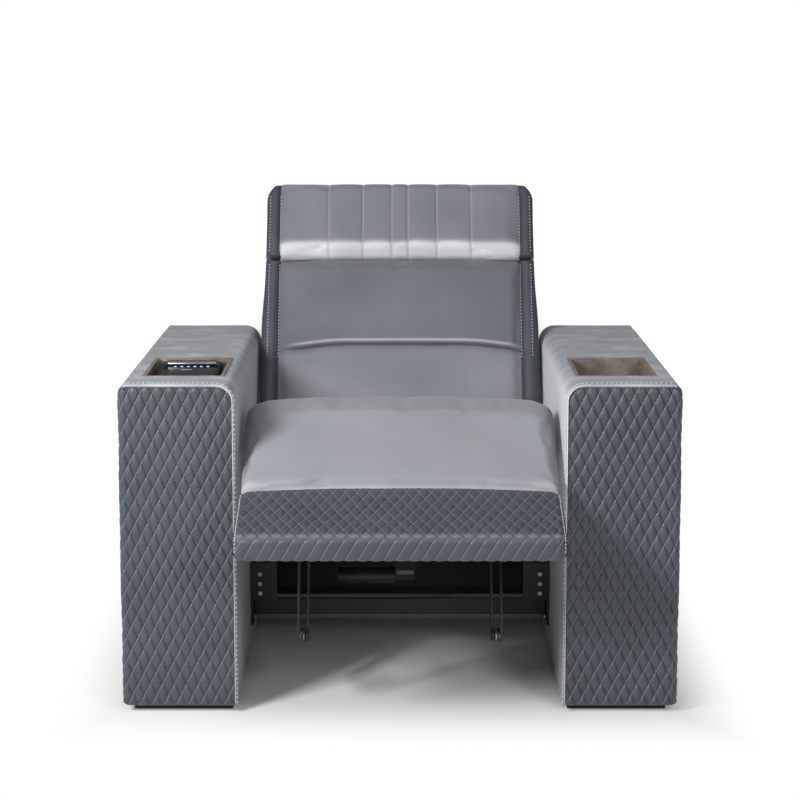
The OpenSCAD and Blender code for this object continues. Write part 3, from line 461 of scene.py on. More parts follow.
def metal(name, base, light, rough, metallic, grain_mm, stretch=(1, 1, 1), depth_mm=0.05):
    """Metal parts: a base colour with slight clouding, and the fine relief that brushing or coating left,
    which makes the gloss uneven too. stretch draws the relief out for brushing."""
    material, tree, shader, place = new_material(name)
    cloud = add(tree, "TexNoise", {"Vector": place, "Scale": scale_of(35), "Detail": 4, "Roughness": 0.6})
    colour = add(tree, "ValToRGB", {"Fac": cloud}, [(0.3, base), (0.75, light)])
    drawn_out = add(tree, "Mapping", {"Vector": place, "Scale": stretch})
    relief = add(tree, "TexNoise", {"Vector": drawn_out, "Scale": scale_of(grain_mm), "Detail": 3})
    normal = add(tree, "Bump", {"Height": relief, "Distance": depth_mm * MM, "Strength": 0.5})
    gloss = add(tree, "MapRange", {"Value": relief, "To Min": rough - 0.07, "To Max": rough + 0.07})
    fill(shader, {"Base Color": colour, "Normal": normal, "Roughness": gloss, "Metallic": metallic})
    return material


def wood(name, dark, mid, light, ring_mm, rough):
    """Veneer or plywood: a soft figure drawn out along Y, darker fine pores and a satin lacquer."""
    material, tree, shader, place = new_material(name)
    grown = add(tree, "Mapping", {"Vector": place, "Scale": (1, 0.35, 1)})
    soft = add(tree, "TexNoise", {
        "Vector": grown, "Scale": scale_of(12 * ring_mm), "Detail": 4, "Roughness": 0.55})
    figure = add(tree, "ValToRGB", {"Fac": soft}, [(0.3, dark), (0.5, mid), (0.7, light)])
    fibres = add(tree, "Mapping", {"Vector": place, "Scale": (1, 0.06, 1)})
    pores = add(tree, "TexNoise", {"Vector": fibres, "Scale": scale_of(1.6), "Detail": 3, "Roughness": 0.7})
    shade = add(tree, "ValToRGB", {"Fac": pores}, [(0.38, "#A5A09B"), (0.55, "#FFFFFF")])
    mix = add(tree, "Mix", {"Factor": 0.5, FIRST: figure, SECOND: shade},
              data_type="RGBA", blend_type="MULTIPLY")
    normal = add(tree, "Bump", {"Height": pores, "Distance": 0.08 * MM, "Strength": 0.4})
    fill(shader, {"Base Color": mix.outputs[MIXED], "Normal": normal, "Roughness": rough})
    return material


def plastic(name, code, light, rough):
    """Moulded ABS or printed film: one even colour, with the fine spark-eroded texture of its mould."""
    material, tree, shader, place = new_material(name)
    shade = add(tree, "TexNoise", {"Vector": place, "Scale": scale_of(40), "Detail": 3})
    colour = add(tree, "ValToRGB", {"Fac": shade}, [(0.2, code), (0.9, light)])
    grain = add(tree, "TexNoise", {"Vector": place, "Scale": scale_of(0.8)})
    normal = add(tree, "Bump", {"Height": grain, "Distance": 0.05 * MM, "Strength": 0.4})
    fill(shader, {"Base Color": colour, "Normal": normal, "Roughness": rough})
    return material


def panel_acrylic():
    """Hard-coated black acrylic over the touch fields: near black, and glossy with faint smears."""
    material, tree, shader, place = new_material("coated_black_acrylic")
    smears = add(tree, "TexNoise", {"Vector": place, "Scale": scale_of(30), "Detail": 4, "Roughness": 0.6})
    gloss = add(tree, "MapRange", {"Value": smears, "To Min": 0.12, "To Max": 0.24})
    fill(shader, {"Base Color": srgb("#0C0C12"), "Roughness": gloss, "Specular IOR Level": 0.04})
    return material


def icon_diode():
    """A blue light-emitting diode behind a diffuser: evenly lit, and bright enough to read as a lamp."""
    material, _, shader, _ = new_material("blue_diode")
    fill(shader, {"Base Color": srgb("#7F9CE8"), "Emission Color": srgb("#86A6FF"), "Emission Strength": 2.2})
    return material


def webbing_cloth():
    """Elastic polypropylene webbing: black, with a weave about 2 mm wide, drawn coarse enough to show."""
    material, tree, shader, place = new_material("elastic_webbing")
    weave = add(tree, "TexChecker", {
        "Vector": place, "Scale": scale_of(2), "Color1": srgb("#1E1E20"), "Color2": srgb("#303034")})
    normal = add(tree, "Bump", {"Height": weave.outputs["Fac"], "Distance": 0.3 * MM, "Strength": 0.6})
    fill(shader, {"Base Color": weave, "Normal": normal, "Roughness": 0.8})
    return material


VELVET = velvet("grey_velvet")
LEATHER = leather("slate_leather")
# On the arms the rising seams' thread is painted pale as a highlight and the falling seams' thread painted dark as
# shade
QUILTED = leather("quilted_slate_leather", ("#8D939B", "#353A40"))
# Painted highlight: the footrest band faces up, so both kinds of its seams get pale thread colours, as if both
# caught the light
BAND_LEATHER = leather("quilted_band_leather", ("#878D95", "#7C828A"))
WHITE_THREAD = sewing_thread("white_sewing_thread", "#D8D8D8")
GREY_THREAD = sewing_thread("grey_sewing_thread", "#A9ABB0")
# Mirror-bright bent wire of the panel's lid
POLISHED = metal("polished_nickel", "#C4BEB4", "#E6E0D6", 0.18, 1.0, 0.6)
# Matt grey film of the label that is left bare
LABEL_FILM = plastic("grey_label_film", "#9C9CA2", "#B4B4B8", 0.4)
FINISH = {
    "velvet": VELVET,
    "slate_leather": LEATHER,
    "plywood": wood("birch_plywood", "#A98F66", "#C4AB80", "#D6C29B", 5.0, 0.6),
    "walnut_veneer": wood("grey_walnut_veneer", "#756863", "#90837C", "#A89D95", 3.0, 0.28),
    "black_plastic": plastic("black_moulded_abs", "#0F0F12", "#18181C", 0.5),
    "black_glass": panel_acrylic(),
    "blue_light": icon_diode(),
    "brushed_metal": metal("brushed_nickel", "#8B857C", "#B4AFA6", 0.30, 1.0, 0.6, stretch=(0.05, 1, 1)),
    "black_steel": metal("black_powder_coated_steel", "#0C0C0E", "#151518", 0.42, 0.0, 1.1, depth_mm=0.12),
    "webbing": webbing_cloth(),
}

SLOT_OF = {s["node"]: s["material_slot"] for s in frame["record"]["subparts"]}
for node_name, node_object in NODES.items():
    node_object.data.materials.clear()
    node_object.data.materials.append(FINISH[SLOT_OF[node_name]])

# Rigid pieces that show get their sheared edges broken, by these widths in millimetres
EDGE_WIDTH = {
    "left_arm_box": 0.8, "right_arm_box": 0.8, "console_housing": 1.2, "console_lid": 0.9,
    "base_front_tube": 2.5, "base_rear_tube": 2.5, "arm_skids": 2.0, "crank_arms": 0.6, "push_links": 0.6,
    "footrest_brackets": 0.6, "footrest_motor": 1.5, "recline_motor": 1.5, "arm_bolts": 0.8,
}
SHARP_EDGE = 40
for node_name, width in EDGE_WIDTH.items():
    weld = NODES[node_name].modifiers.new("weld", "WELD")
    weld.merge_threshold = 0.01 * MM
    edge = NODES[node_name].modifiers.new("edge", "BEVEL")
    edge.width = width * MM
    edge.segments = 2
    edge.limit_method = "ANGLE"
    edge.angle_limit = math.radians(SHARP_EDGE)


# Arms

# Rolled edges and rounded corners, by their radii
ARM_ROLL = 4
INNER_ROUND = 34
OUTER_ROUND = 8
CORNER_R = 14
LEATHER_EDGE = 3
FOOT_ROUND = 9
# The front leather ends this far below the velvet on top, and the velvet's lip hangs down over it
TOP_DROP = 3.5
# How far behind the arm's front its seam runs, and how thick the velvet with its lining is
STITCH_BACK = 1.7
VELVET_WALL = 4
# How far behind its face the leather's inner side lies
LEATHER_WALL = 9
# The outer side leans in by this much over this height below the top
SHOULDER = 7
SHOULDER_HEIGHT = 26
# Steps of the leather's surface up each diamond
ROWS_A_DIAMOND = 16
# How far from an edge the quilting has come up to its full depth, and the rim to the leather's face
QUILT_FADE, RIM_FADE = 6, 7
# The padding under the leather swells by this much, in waves of this size
SWELL, SWELL_SIZE = 1.3, 170
# Inner and outer edge of the hole that the velvet leaves for the wooden box
HOLE_IN = BOX_LOW[0] + 0.3
HOLE_OUT = BOX_HIGH[0] + 0.5

# The leather's path in plan: lengths of the front, of a rounded corner, of the outer side, and of the whole
ARM_FRONT = ARM_OUT - CORNER_R - ARM_IN - ARM_ROLL
ARM_ARC = CORNER_R * math.pi / 2
ARM_SIDE = REAR_Y - FRONT_Y - 2 * CORNER_R
ARM_ROUND = 2 * ARM_FRONT + 2 * ARM_ARC + ARM_SIDE
# The front quilt passes into the side leather a little behind the corner, between two diamonds
QUILT_SPLIT = round((ARM_FRONT + ARM_ARC + 30) / DIAMOND_W) * DIAMOND_W


def arm_leather(start, end, columns):
    """Quilted leather round an arm: front, outer side and rear. A path runs round the arm in plan, with
    corners of r * sin, r * (1 - cos). Over it the surface drops by the quilting, and by a quarter round
    along its edges. columns is how many steps a diamond's width takes."""
    s = np.linspace(start, end, int(round((end - start) / DIAMOND_W * columns)) + 1)
    a1 = np.clip((s - ARM_FRONT) / CORNER_R, 0, math.pi / 2)
    a2 = np.clip((s - ARM_FRONT - ARM_ARC - ARM_SIDE) / CORNER_R, 0, math.pi / 2)
    along_front = np.clip(s, 0, ARM_FRONT)
    along_side = np.clip(s - ARM_FRONT - ARM_ARC, 0, ARM_SIDE)
    along_rear = np.clip(s - ARM_FRONT - 2 * ARM_ARC - ARM_SIDE, 0, ARM_FRONT)
    x = ARM_IN + ARM_ROLL + along_front + CORNER_R * (np.sin(a1) + np.cos(a2) - 1) - along_rear
    y = FRONT_Y + along_side + CORNER_R * (1 - np.cos(a1) + np.sin(a2))
    nx = np.sin(a1) * np.cos(a2)
    ny = -np.cos(a1) + np.sin(a2)

    inner = INNER_ROUND - ARM_ROLL
    from_end = np.minimum(s, ARM_ROUND - s)
    edge_t = np.clip(inner - from_end, 0, inner)
    top = ARM_TOP - ARM_ROLL - TOP_DROP - (inner - np.sqrt(inner ** 2 - edge_t ** 2))
    v = np.linspace(0, 1, int((ARM_TOP - ARM_LOW) / DIAMOND_H * ROWS_A_DIAMOND))[:, None]
    z = ARM_LOW + v * (top - ARM_LOW)

    edge = np.minimum(np.minimum(from_end, z - ARM_LOW), top - z)
    turning = np.sin(2 * a1) + np.sin(2 * a2)
    drop = quilting(s, z - ARM_LOW) * smooth_step(edge / QUILT_FADE) * (1 - 0.55 * turning)
    rim = LEATHER_EDGE * (1 - smooth_step(edge / RIM_FADE))
    near_foot = np.clip(FOOT_ROUND - z + ARM_LOW, 0, FOOT_ROUND)
    foot = FOOT_ROUND - np.sqrt(FOOT_ROUND ** 2 - near_foot ** 2)
    on_side = smooth_step((s - ARM_FRONT + 20) / 40) * smooth_step((ARM_ROUND - ARM_FRONT + 20 - s) / 40)
    near_top = np.clip(1 - (top - z) / SHOULDER_HEIGHT, 0, 1)
    shoulder = SHOULDER * on_side * (1 - np.sqrt(1 - near_top ** 2))
    swell = SWELL * waves(s, z, SWELL_SIZE, 2) * smooth_step(edge / 30)
    depth = np.maximum(drop + rim + shoulder - swell, 0.3) + 0.6 * foot
    points, faces = backed_grid(xyz(x - nx * depth, y - ny * depth, z),
                                xyz(x - nx * LEATHER_WALL, y - ny * LEATHER_WALL, z))
    diamonds = np.stack(np.broadcast_arrays(s / DIAMOND_W, (z - ARM_LOW) / DIAMOND_H), -1).reshape(-1, 2)
    return points, faces, diamonds


def set_uv(piece, name, uv):
    """Gives each corner its point's place on the pattern; points past the list share the first place."""
    layer = piece.data.uv_layers.new(name=name)
    index = np.empty(len(piece.data.loops), np.int32)
    piece.data.loops.foreach_get("vertex_index", index)
    full = np.zeros((len(piece.data.vertices), 2))
    full[:len(uv)] = uv
    layer.data.foreach_set("uv", full[index].ravel())


def set_attribute(piece, name, values):
    """A value between 0 and 1 for each point, such as the velvet's pile tone together with its painted light
    and shade, and crease, how much painted shade darkens a point in a seam or fold. Points past the list have 0."""
    full = np.zeros(len(piece.data.vertices), np.float32)
    full[:len(values)] = np.clip(values, 0, 1)
    layer = piece.data.attributes.new(name, "FLOAT", "POINT")
    layer.data.foreach_set("value", full)


def arm_velvet():
    """Velvet over an arm's inner side and top. The profile goes up the inner side, round the inner top
    edge, over the top and round the outer edge, and is carried along Y, where it rolls inwards at both
    ends. A quarter circle is r * (1 - cos), r * (1 - sin). Cells over the wooden box are left out."""
    side_n, level_n = 40, 33
    inner, outer = steps(0, math.pi / 2, 12), np.linspace(0, math.pi / 2, 8)
    x_end = VELVET_HIGH[0] - OUTER_ROUND
    px = np.concatenate([
        np.full(side_n, ARM_IN), ARM_IN + INNER_ROUND * (1 - np.cos(inner)),
        steps(ARM_IN + INNER_ROUND, HOLE_OUT, level_n - 5), steps(HOLE_OUT, x_end, 5),
        x_end + OUTER_ROUND * np.sin(outer)])
    pz = np.concatenate([
        steps(ARM_LOW, ARM_TOP - INNER_ROUND, side_n), ARM_TOP - INNER_ROUND * (1 - np.sin(inner)),
        np.full(level_n, ARM_TOP), ARM_TOP - OUTER_ROUND * (1 - np.cos(outer))])
    nx = np.concatenate([np.full(side_n, -1.0), -np.cos(inner), np.zeros(level_n), np.sin(outer)])
    nz = np.concatenate([np.zeros(side_n), np.sin(inner), np.ones(level_n), np.cos(outer)])

    ends = np.linspace(math.pi / 2, 0, 12)
    y_front = FRONT_Y + ARM_ROLL * (1 - np.sin(ends)) + 0.5
    y = np.concatenate([
        y_front, steps(FRONT_Y + ARM_ROLL + 1, FRONT_Y + 13, 12), steps(FRONT_Y + 13, BOX_LOW[1], 36),
        steps(BOX_LOW[1], BOX_HIGH[1], 60), steps(BOX_HIGH[1], REAR_Y - ARM_ROLL - 1, 80),
        REAR_Y - y_front[::-1] + FRONT_Y])[:, None]
    inset = np.zeros(y.shape)
    inset[:12, 0] = ARM_ROLL * (1 - np.cos(ends))
    inset[-12:] = inset[:12][::-1]

    stitch_line = 0.5 * bell((y - FRONT_Y - STITCH_BACK) / 0.8)
    near_edge = bell((px - ARM_IN - INNER_ROUND * 0.4) / 26)
    puff = 1.2 * waves(pz + px, y, 160, 3) + 0.6 * near_edge * waves(pz * 0.9, y, 42, 43)
    flat = smooth_step((y - FRONT_Y - 15) / 30)
    draw = inset + stitch_line + (0.6 - 0.5 * puff) * flat
    grid = xyz(px - nx * draw, y, pz - nz * draw)
    lip = grid[:1] - xyz(0, 0, TOP_DROP * nz)
    grid = np.concatenate([lip, grid])
    quads = np.array(grid_faces(*grid.shape[:2]))
    x, y, z = grid.reshape(-1, 3)[quads].mean(1).T
    in_hole = (x > HOLE_IN) & (x < HOLE_OUT) & (y > BOX_LOW[1]) & (y < BOX_HIGH[1]) & (z > ARM_TOP - 20)
    return grid.reshape(-1, 3), quads[~in_hole].tolist()


def front_seam(y, inset):
    """The path of an arm's front seam, from the foot of the inner side over the top, as the velvet's profile
    goes, with its outward normals."""
    side_n, level_n = 60, 40
    turn = np.linspace(0, math.pi / 2, 20)
    x = np.concatenate([np.full(side_n, ARM_IN), ARM_IN + INNER_ROUND * (1 - np.cos(turn)),
                        np.linspace(ARM_IN + INNER_ROUND, VELVET_HIGH[0] - 4, level_n)])
    z = np.concatenate([np.linspace(ARM_LOW + 4, ARM_TOP - INNER_ROUND, side_n),
                        ARM_TOP - INNER_ROUND * (1 - np.sin(turn)), np.full(level_n, ARM_TOP)])
    normals = xyz(np.concatenate([np.full(side_n, -1.0), -np.cos(turn), np.zeros(level_n)]), 0,
                  np.concatenate([np.zeros(side_n), np.sin(turn), np.ones(level_n)]))
    return xyz(x, y, z) - normals * inset, normals


def dress_arm(side, inner_painted_light, inner_painted_rise):
    """The quilted leather, the velvet and the white stitches of one arm. Its inner side is painted lighter by
    the first of the two numbers low down, and by the second more near the top, as painted light for how the lamps
    fall on it."""
    left = side == "left"
    flip = mirrored if left else (lambda points, faces: (points, faces))
    for part, start, end, columns, stands_for in (
            ("front", 0, QUILT_SPLIT, 12, f"{side}_arm_front_quilt"),
            ("side", QUILT_SPLIT, ARM_ROUND, 8, f"{side}_arm_leather")):
        points, faces, diamonds = arm_leather(start, end, columns)
        hide = new_piece(f"{side}_arm_{part}_quilting", *flip(points, faces), QUILTED, "slate_leather",
                         "base", (stands_for,))
        set_uv(hide, "diamonds", diamonds * ((-1, 1) if left else (1, 1)))
        set_attribute(hide, "crossed", np.ones(len(points)))

    points, faces = arm_velvet()
    x, y, z = points.T
    cover = new_piece(f"{side}_arm_velvet_cover", *flip(points, faces), VELVET, "velvet", "base",
                      (f"{side}_arm_velvet",))
    # The nap is mottled in two sizes, mostly on top. The front rim gets a painted highlight and the inner side
    # painted light.
    on_top = smooth_step((z - ARM_TOP + INNER_ROUND) / INNER_ROUND)
    mottle = 0.08 * waves(x * 0.8, y, 47, 41) + 0.14 * waves(x, y, 95, 42)
    rim = 0.12 * smooth_step((FRONT_Y + 7 - y) / 4)
    inside = inner_painted_light + inner_painted_rise * smooth_step((z - 260) / 220)
    set_attribute(cover, "pile_and_painted_light", inside + (0.5 - inside) * on_top + mottle * (0.3 + 0.7 * on_top) + rim)
    from_end = np.minimum(y - FRONT_Y, REAR_Y - y)
    # Painted shade darkens the velvet along its front seam
    set_attribute(cover, "crease", 0.75 * bell((from_end - STITCH_BACK) / 0.6))
    wall = cover.modifiers.new("cloth_thickness", "SOLIDIFY")
    wall.thickness = VELVET_WALL * MM
    wall.offset = -1
    # The stitches lie just ahead of the seam's middle, a little sunk into the velvet
    seam = stitches(*front_seam(FRONT_Y + STITCH_BACK - 0.8, inset=0.4), pitch=9, length=2.4, r=1.2)
    new_piece(f"{side}_arm_top_stitching", *flip(*seam), WHITE_THREAD, "velvet", "base")


# Painted light: the right arm's inner side is painted lighter than the left arm's, as if lit from the left
dress_arm("right", 0.55, 0.45)
dress_arm("left", 0.5, 0.15)


# Small parts that only show here: the lid's bent rod, a bare label, a black strip that stands in for shade, and
# bolt heads on the frame

def bent_rod(corners, r, bend, sides=12):
    """A closed rod through four corners in one plane. Each bend is the parabola
    (1 - t)^2 a + 2 t (1 - t) corner + t^2 b between points a and b beside its corner, and rings of radius r
    are carried along the path."""
    c = np.array(corners, float)
    to_last, to_next = np.roll(c, 1, 0) - c, np.roll(c, -1, 0) - c
    a = c + to_last / np.linalg.norm(to_last, axis=1)[:, None] * bend
    b = c + to_next / np.linalg.norm(to_next, axis=1)[:, None] * bend
    t = np.linspace(0, 1, 8)[:, None]
    path = ((1 - t) ** 2 * a[:, None] + 2 * t * (1 - t) * c[:, None] + t ** 2 * b[:, None]).reshape(-1, 3)
    along = np.roll(path, -1, 0) - np.roll(path, 1, 0)
    along /= np.linalg.norm(along, axis=1)[:, None]
    up = np.cross(c[1] - c[0], c[3] - c[0])
    up = up / np.linalg.norm(up)
    beside = np.cross(along, up)
    angle = steps(0, 2 * math.pi, sides)[:, None]
    rings = path[:, None] + r * (beside[:, None] * np.cos(angle) + up * np.sin(angle))
    faces = grid_faces(len(path), sides, closed=True, looped=True)
    return rings.reshape(-1, 3), turned_over(faces)


def disc(centre, r, thick, bevel, axis, n=24, stretch=1):
    """A round or long button with a bevelled rim that stands on a face and points along an axis, 1 for -Y
    and 2 for Z: rings of radius * cos t and radius * sin t. A long one has its two halves set apart."""
    t = steps(0, 2 * math.pi, n)
    apart = (stretch - 1) * r * np.sign(np.cos(t)) * (np.abs(np.cos(t)) > 1e-6)
    radius, height = np.array([(r, -0.5), (r, thick - bevel), (r - bevel, thick), (0.2, thick)]).T[..., None]
    a, b = radius * np.cos(t) + apart, radius * np.sin(t)
    rings = xyz(a, -height, b) if axis == 1 else xyz(a, b, height)
    return tube(rings + np.array(centre))


LID_LOW, LID_HIGH = cad_box("console_lid")
GLASS_LOW, GLASS_HIGH = cad_box("console_glass")
PIN_LOW, PIN_HIGH = cad_box("console_hinge_pin")
# The lid folds over by half a turn, which mirrors a height about its hinge. The rod runs round the open lid,
# at the height that puts it just over the panel when the lid is closed.
ROD_R = 1.5
ROD_GAP = 0.1
ROD_Z = PIN_LOW[2] + PIN_HIGH[2] - GLASS_HIGH[2] - ROD_R - ROD_GAP
ROD_FRONT, ROD_REAR = LID_LOW[1] + 6, LID_HIGH[1] + 4
ROD_LEFT, ROD_RIGHT = LID_LOW[0] - ROD_R, LID_HIGH[0] + ROD_R
rod = bent_rod([(ROD_LEFT, ROD_FRONT, ROD_Z), (ROD_RIGHT, ROD_FRONT, ROD_Z), (ROD_RIGHT, ROD_REAR, ROD_Z),
                (ROD_LEFT, ROD_REAR, ROD_Z)], ROD_R, bend=4)
new_piece("console_lid_rod", *rod, POLISHED, "brushed_metal", "console_lid")

# The label lies left of the panel's middle and well ahead of its rear end
LABEL_LEFT, LABEL_AHEAD = 6, 44
label_at = ((GLASS_LOW[0] + GLASS_HIGH[0]) / 2 - LABEL_LEFT, GLASS_HIGH[1] - LABEL_AHEAD, GLASS_HIGH[2])
label = disc(label_at, r=4, thick=0.4, bevel=0.2, axis=2, stretch=2.7)
new_piece("console_bare_label", *label, LABEL_FILM, "black_plastic", "base", smooth=False)

# Painted shade: a black strip hangs under the rear tube and darkens the floor seen behind the mechanism
TUBE_LOW, TUBE_HIGH = cad_box("base_rear_tube")
SHADE_STRIP_Y = (TUBE_LOW[1] + TUBE_HIGH[1]) / 2
SHADE_STRIP_LOW, SHADE_STRIP_HIGH = 22, TUBE_LOW[2] + 3
SHADE_STRIP_HALF = 1.5
SHADE_STRIP_BEVEL = 1
outline_y = SHADE_STRIP_Y + np.array([-1, -1, -1, 1, 1, 1]) * (
    SHADE_STRIP_HALF - SHADE_STRIP_BEVEL * np.array([0, 0, 1, 1, 0, 0]))
outline_z = np.array([SHADE_STRIP_HIGH, SHADE_STRIP_LOW + SHADE_STRIP_BEVEL, SHADE_STRIP_LOW,
                      SHADE_STRIP_LOW, SHADE_STRIP_LOW + SHADE_STRIP_BEVEL, SHADE_STRIP_HIGH])
along_tube = np.linspace(TUBE_LOW[0] + 4, TUBE_HIGH[0] - 4, 40)[:, None]
new_piece("rear_shade_strip", *tube(xyz(along_tube, outline_y, outline_z)), FINISH["black_plastic"],
          "black_plastic", "base", smooth=False)

# Three bolt heads on the flange of each front bracket
FLANGE_LOW, _ = cad_box("base_front_brackets")
BOLT_X = 283
BOLT_ROWS = (128, 148, 168)
bolts = [disc((x, FLANGE_LOW[1], z), r=5.5, thick=4, bevel=1.2, axis=1, n=12)
         for x in (-BOLT_X, BOLT_X) for z in BOLT_ROWS]
new_piece("base_bolt_heads", *joined(*bolts), FINISH["brushed_metal"], "brushed_metal", "base", smooth=False)


# Soft covers

def activate(piece):
    """Makes a piece the one that Blender's operators work on."""
    bpy.ops.object.select_all(action="DESELECT")
    piece.select_set(True)
    bpy.context.view_layer.objects.active = piece


def coordinates(mesh):
    """A mesh's points as an array in millimetres."""
    co = np.empty(len(mesh.vertices) * 3)
    mesh.vertices.foreach_get("co", co)
    return co.reshape(-1, 3) / MM


def set_coordinates(mesh, points):
    """Moves a mesh's points to places in millimetres."""
    mesh.vertices.foreach_set("co", (np.asarray(points) * MM).ravel())
    mesh.update()


# Frames that Cloth runs for, how far in a point may then lie, and the share of its slide along the cloth
CLOTH_FRAMES = 20
CLOTH_IN = 1
CLOTH_SLIDE = 0.3


def blown_up(piece, voxel, pressure, cap):
    """Remeshes a form, swells it with Cloth, holds each point between CLOTH_IN inside and cap outside of
    where it was, and divides its faces once, ready for seams and folds."""
    activate(piece)
    remesh = piece.modifiers.new("remesh", "REMESH")
    remesh.mode = "VOXEL"
    remesh.voxel_size = voxel * MM
    bpy.ops.object.modifier_apply(modifier="remesh")
    even = piece.modifiers.new("even", "SMOOTH")
    even.factor = 0.5
    even.iterations = 6
    bpy.ops.object.modifier_apply(modifier="even")
    start = coordinates(piece.data)
    cloth = piece.modifiers.new("cloth", "CLOTH")
    velour = cloth.settings
    velour.quality = 5
    velour.mass = 0.3
    velour.tension_stiffness = 18
    velour.compression_stiffness = 18
    velour.shear_stiffness = 8
    velour.bending_stiffness = 1.5
    velour.use_pressure = True
    velour.uniform_pressure_force = pressure
    velour.effector_weights.gravity = 0
    cloth.point_cache.frame_start = 1
    cloth.point_cache.frame_end = CLOTH_FRAMES
    scene = bpy.context.scene
    for number in range(1, CLOTH_FRAMES + 1):
        scene.frame_set(number)
    moved = coordinates(piece.evaluated_get(bpy.context.evaluated_depsgraph_get()).data)
    piece.modifiers.remove(cloth)
    scene.frame_set(1)
    normals = np.empty(len(start) * 3)
    piece.data.vertex_normals.foreach_get("vector", normals)
    normals = normals.reshape(-1, 3)
    out = ((moved - start) * normals).sum(1)
    slide = moved - start - out[:, None] * normals
    held = np.clip(out, -CLOTH_IN, cap)[:, None] * normals
    set_coordinates(piece.data, start + held + CLOTH_SLIDE * slide)
    finer = piece.modifiers.new("finer", "SUBSURF")
    finer.levels = 1
    bpy.ops.object.modifier_apply(modifier="finer")
    piece.data.polygons.foreach_set("use_smooth", [True] * len(piece.data.polygons))


def spline(knots, n):
    """Points evenly along a smooth curve through the knots, by Catmull-Rom pieces
    (2 b + (c - a) t + (2 a - 5 b + 4 c - d) t^2 + (3 b - 3 c + d - a) t^3) / 2 between b and c."""
    k = np.asarray(knots, float)
    k = np.concatenate([2 * k[:1] - k[1:2], k, 2 * k[-1:] - k[-2:-1]])
    a, b, c, d = (k[i:len(k) - 3 + i, None] for i in range(4))
    t = steps(0, 1, 30)[:, None]
    curve = 0.5 * (2 * b + (c - a) * t + (2 * a - 5 * b + 4 * c - d) * t ** 2
                   + (3 * b - 3 * c + d - a) * t ** 3)
    curve = np.concatenate([curve.reshape(-1, 2), k[-2:-1]])
    run = run_of(curve)
    at = np.linspace(0, run[-1], n)
    return np.stack([np.interp(at, run, curve[:, 0]), np.interp(at, run, curve[:, 1])], -1)


# Seat and footrest cover, one piece over the knee

# Side view of the cover's upper and lower face, as [behind the arm fronts, above the floor]
CHAISE_TOP = [(606, 452), (500, 481), (405, 505), (300, 532), (235, 547), (188, 556), (148, 545), (100, 515),
              (50, 488), (0, 459), (-44, 431)]
CHAISE_LOW = [(527, 348), (450, 366), (380, 384), (300, 404), (235, 421), (188, 433), (148, 444), (102, 457),
              (50, 445), (0, 429), (-41, 415)]
CHAISE_HALF = 293
CHAISE_CROWN = 12
# The seam with the leather band lies this far ahead of the arm fronts
CHAISE_SEAM = 42


def chaise_form():
    """The seat and footrest cover: rings across the seat, one for each step of its side view. A ring's top
    is crowned by a power of the distance from the middle and rolls over at its edges."""
    top = spline(CHAISE_TOP, 70)
    low = spline(CHAISE_LOW, 70)
    t = np.linspace(0, 1, 70)[:, None]
    u = np.sin(np.linspace(-math.pi / 2, math.pi / 2, 41))
    crown = CHAISE_CROWN * np.abs(u) ** 2.6 * (0.75 + 0.25 * bell((t - 0.55) / 0.2))
    crown = crown * (1 - 0.45 * smooth_step((t - 0.8) / 0.2))
    sides = roll(u, 15, 0.07) * (1 - 0.6 * smooth_step((t - 0.85) / 0.15))
    end = roll(2 * t - 1, 18, 0.05) * (t < 0.5)
    upper = xyz(CHAISE_HALF * u, top[:, :1] + FRONT_Y, top[:, 1:] - (crown + sides + end))
    lower = xyz((CHAISE_HALF - 4) * np.linspace(1, -1, 21), low[:, :1] + FRONT_Y, low[:, 1:])
    return tube(np.concatenate([upper, lower], 1))


chaise = new_piece("seat_and_footrest_cover", *chaise_form(), VELVET, "velvet")
blown_up(chaise, voxel=6, pressure=3.0, cap=10)
co = coordinates(chaise.data)
aside = np.abs(co[:, 0])
behind = co[:, 1] - FRONT_Y
# Small slanting folds where the seam gathers the velvet, at both sides, and a gentle unevenness all over
gather = bell((behind + CHAISE_SEAM) / 26) * smooth_step((aside - 190) / 90)
co[:, 2] += 1.6 * gather * np.sin((aside * 0.5 + co[:, 1] * 0.9) / 4.5)
co[:, 2] += 0.9 * waves(co[:, 0], co[:, 1], 150, 5)
set_coordinates(chaise.data, co)
# The velvet is painted lighter over the footrest and at the seam, a painted highlight, and darker on the left
# side, a painted shade, as that side is turned from the light
pile_and_painted_light = 0.41 + 0.08 * smooth_step((60 - behind) / 200) + 0.05 * waves(co[:, 0], co[:, 1], 240, 8)
pile_and_painted_light += 0.3 * smooth_step((-26 - behind) / 30)
pile_and_painted_light -= 0.22 * smooth_step((-co[:, 0] - 150) / 120) * smooth_step((behind - 40) / 120)
set_attribute(chaise, "pile_and_painted_light", pile_and_painted_light)
# Painted shade along both sides of the seat, beside the arms
set_attribute(chaise, "crease", 0.5 * smooth_step((aside - 268) / 18) * smooth_step((behind + 30) / 60))
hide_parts("seat_cushion", "footrest_pad")
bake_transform(chaise)


# Quilted band over the footrest's end, measured from the knee hinge along the footrest
BAND_HALF = 292.5
NOSE_Y = -331
SEAM_Y = -139
NOSE_TOP = 56
SEAM_TOP = 46
BAND_LOW = 8
# Where the path goes over the nose's upper edge, counted along it
NOSE_RUN = 184
# Roll of the band's left and right end, and the share of its half width that it takes
BAND_ROLL, BAND_ROLL_SHARE = 16, 0.06
# How far in from its ends the band is stitched down, and how deep that presses it
BAND_STITCH_IN, BAND_STITCH_DEEP = 5, 1.2


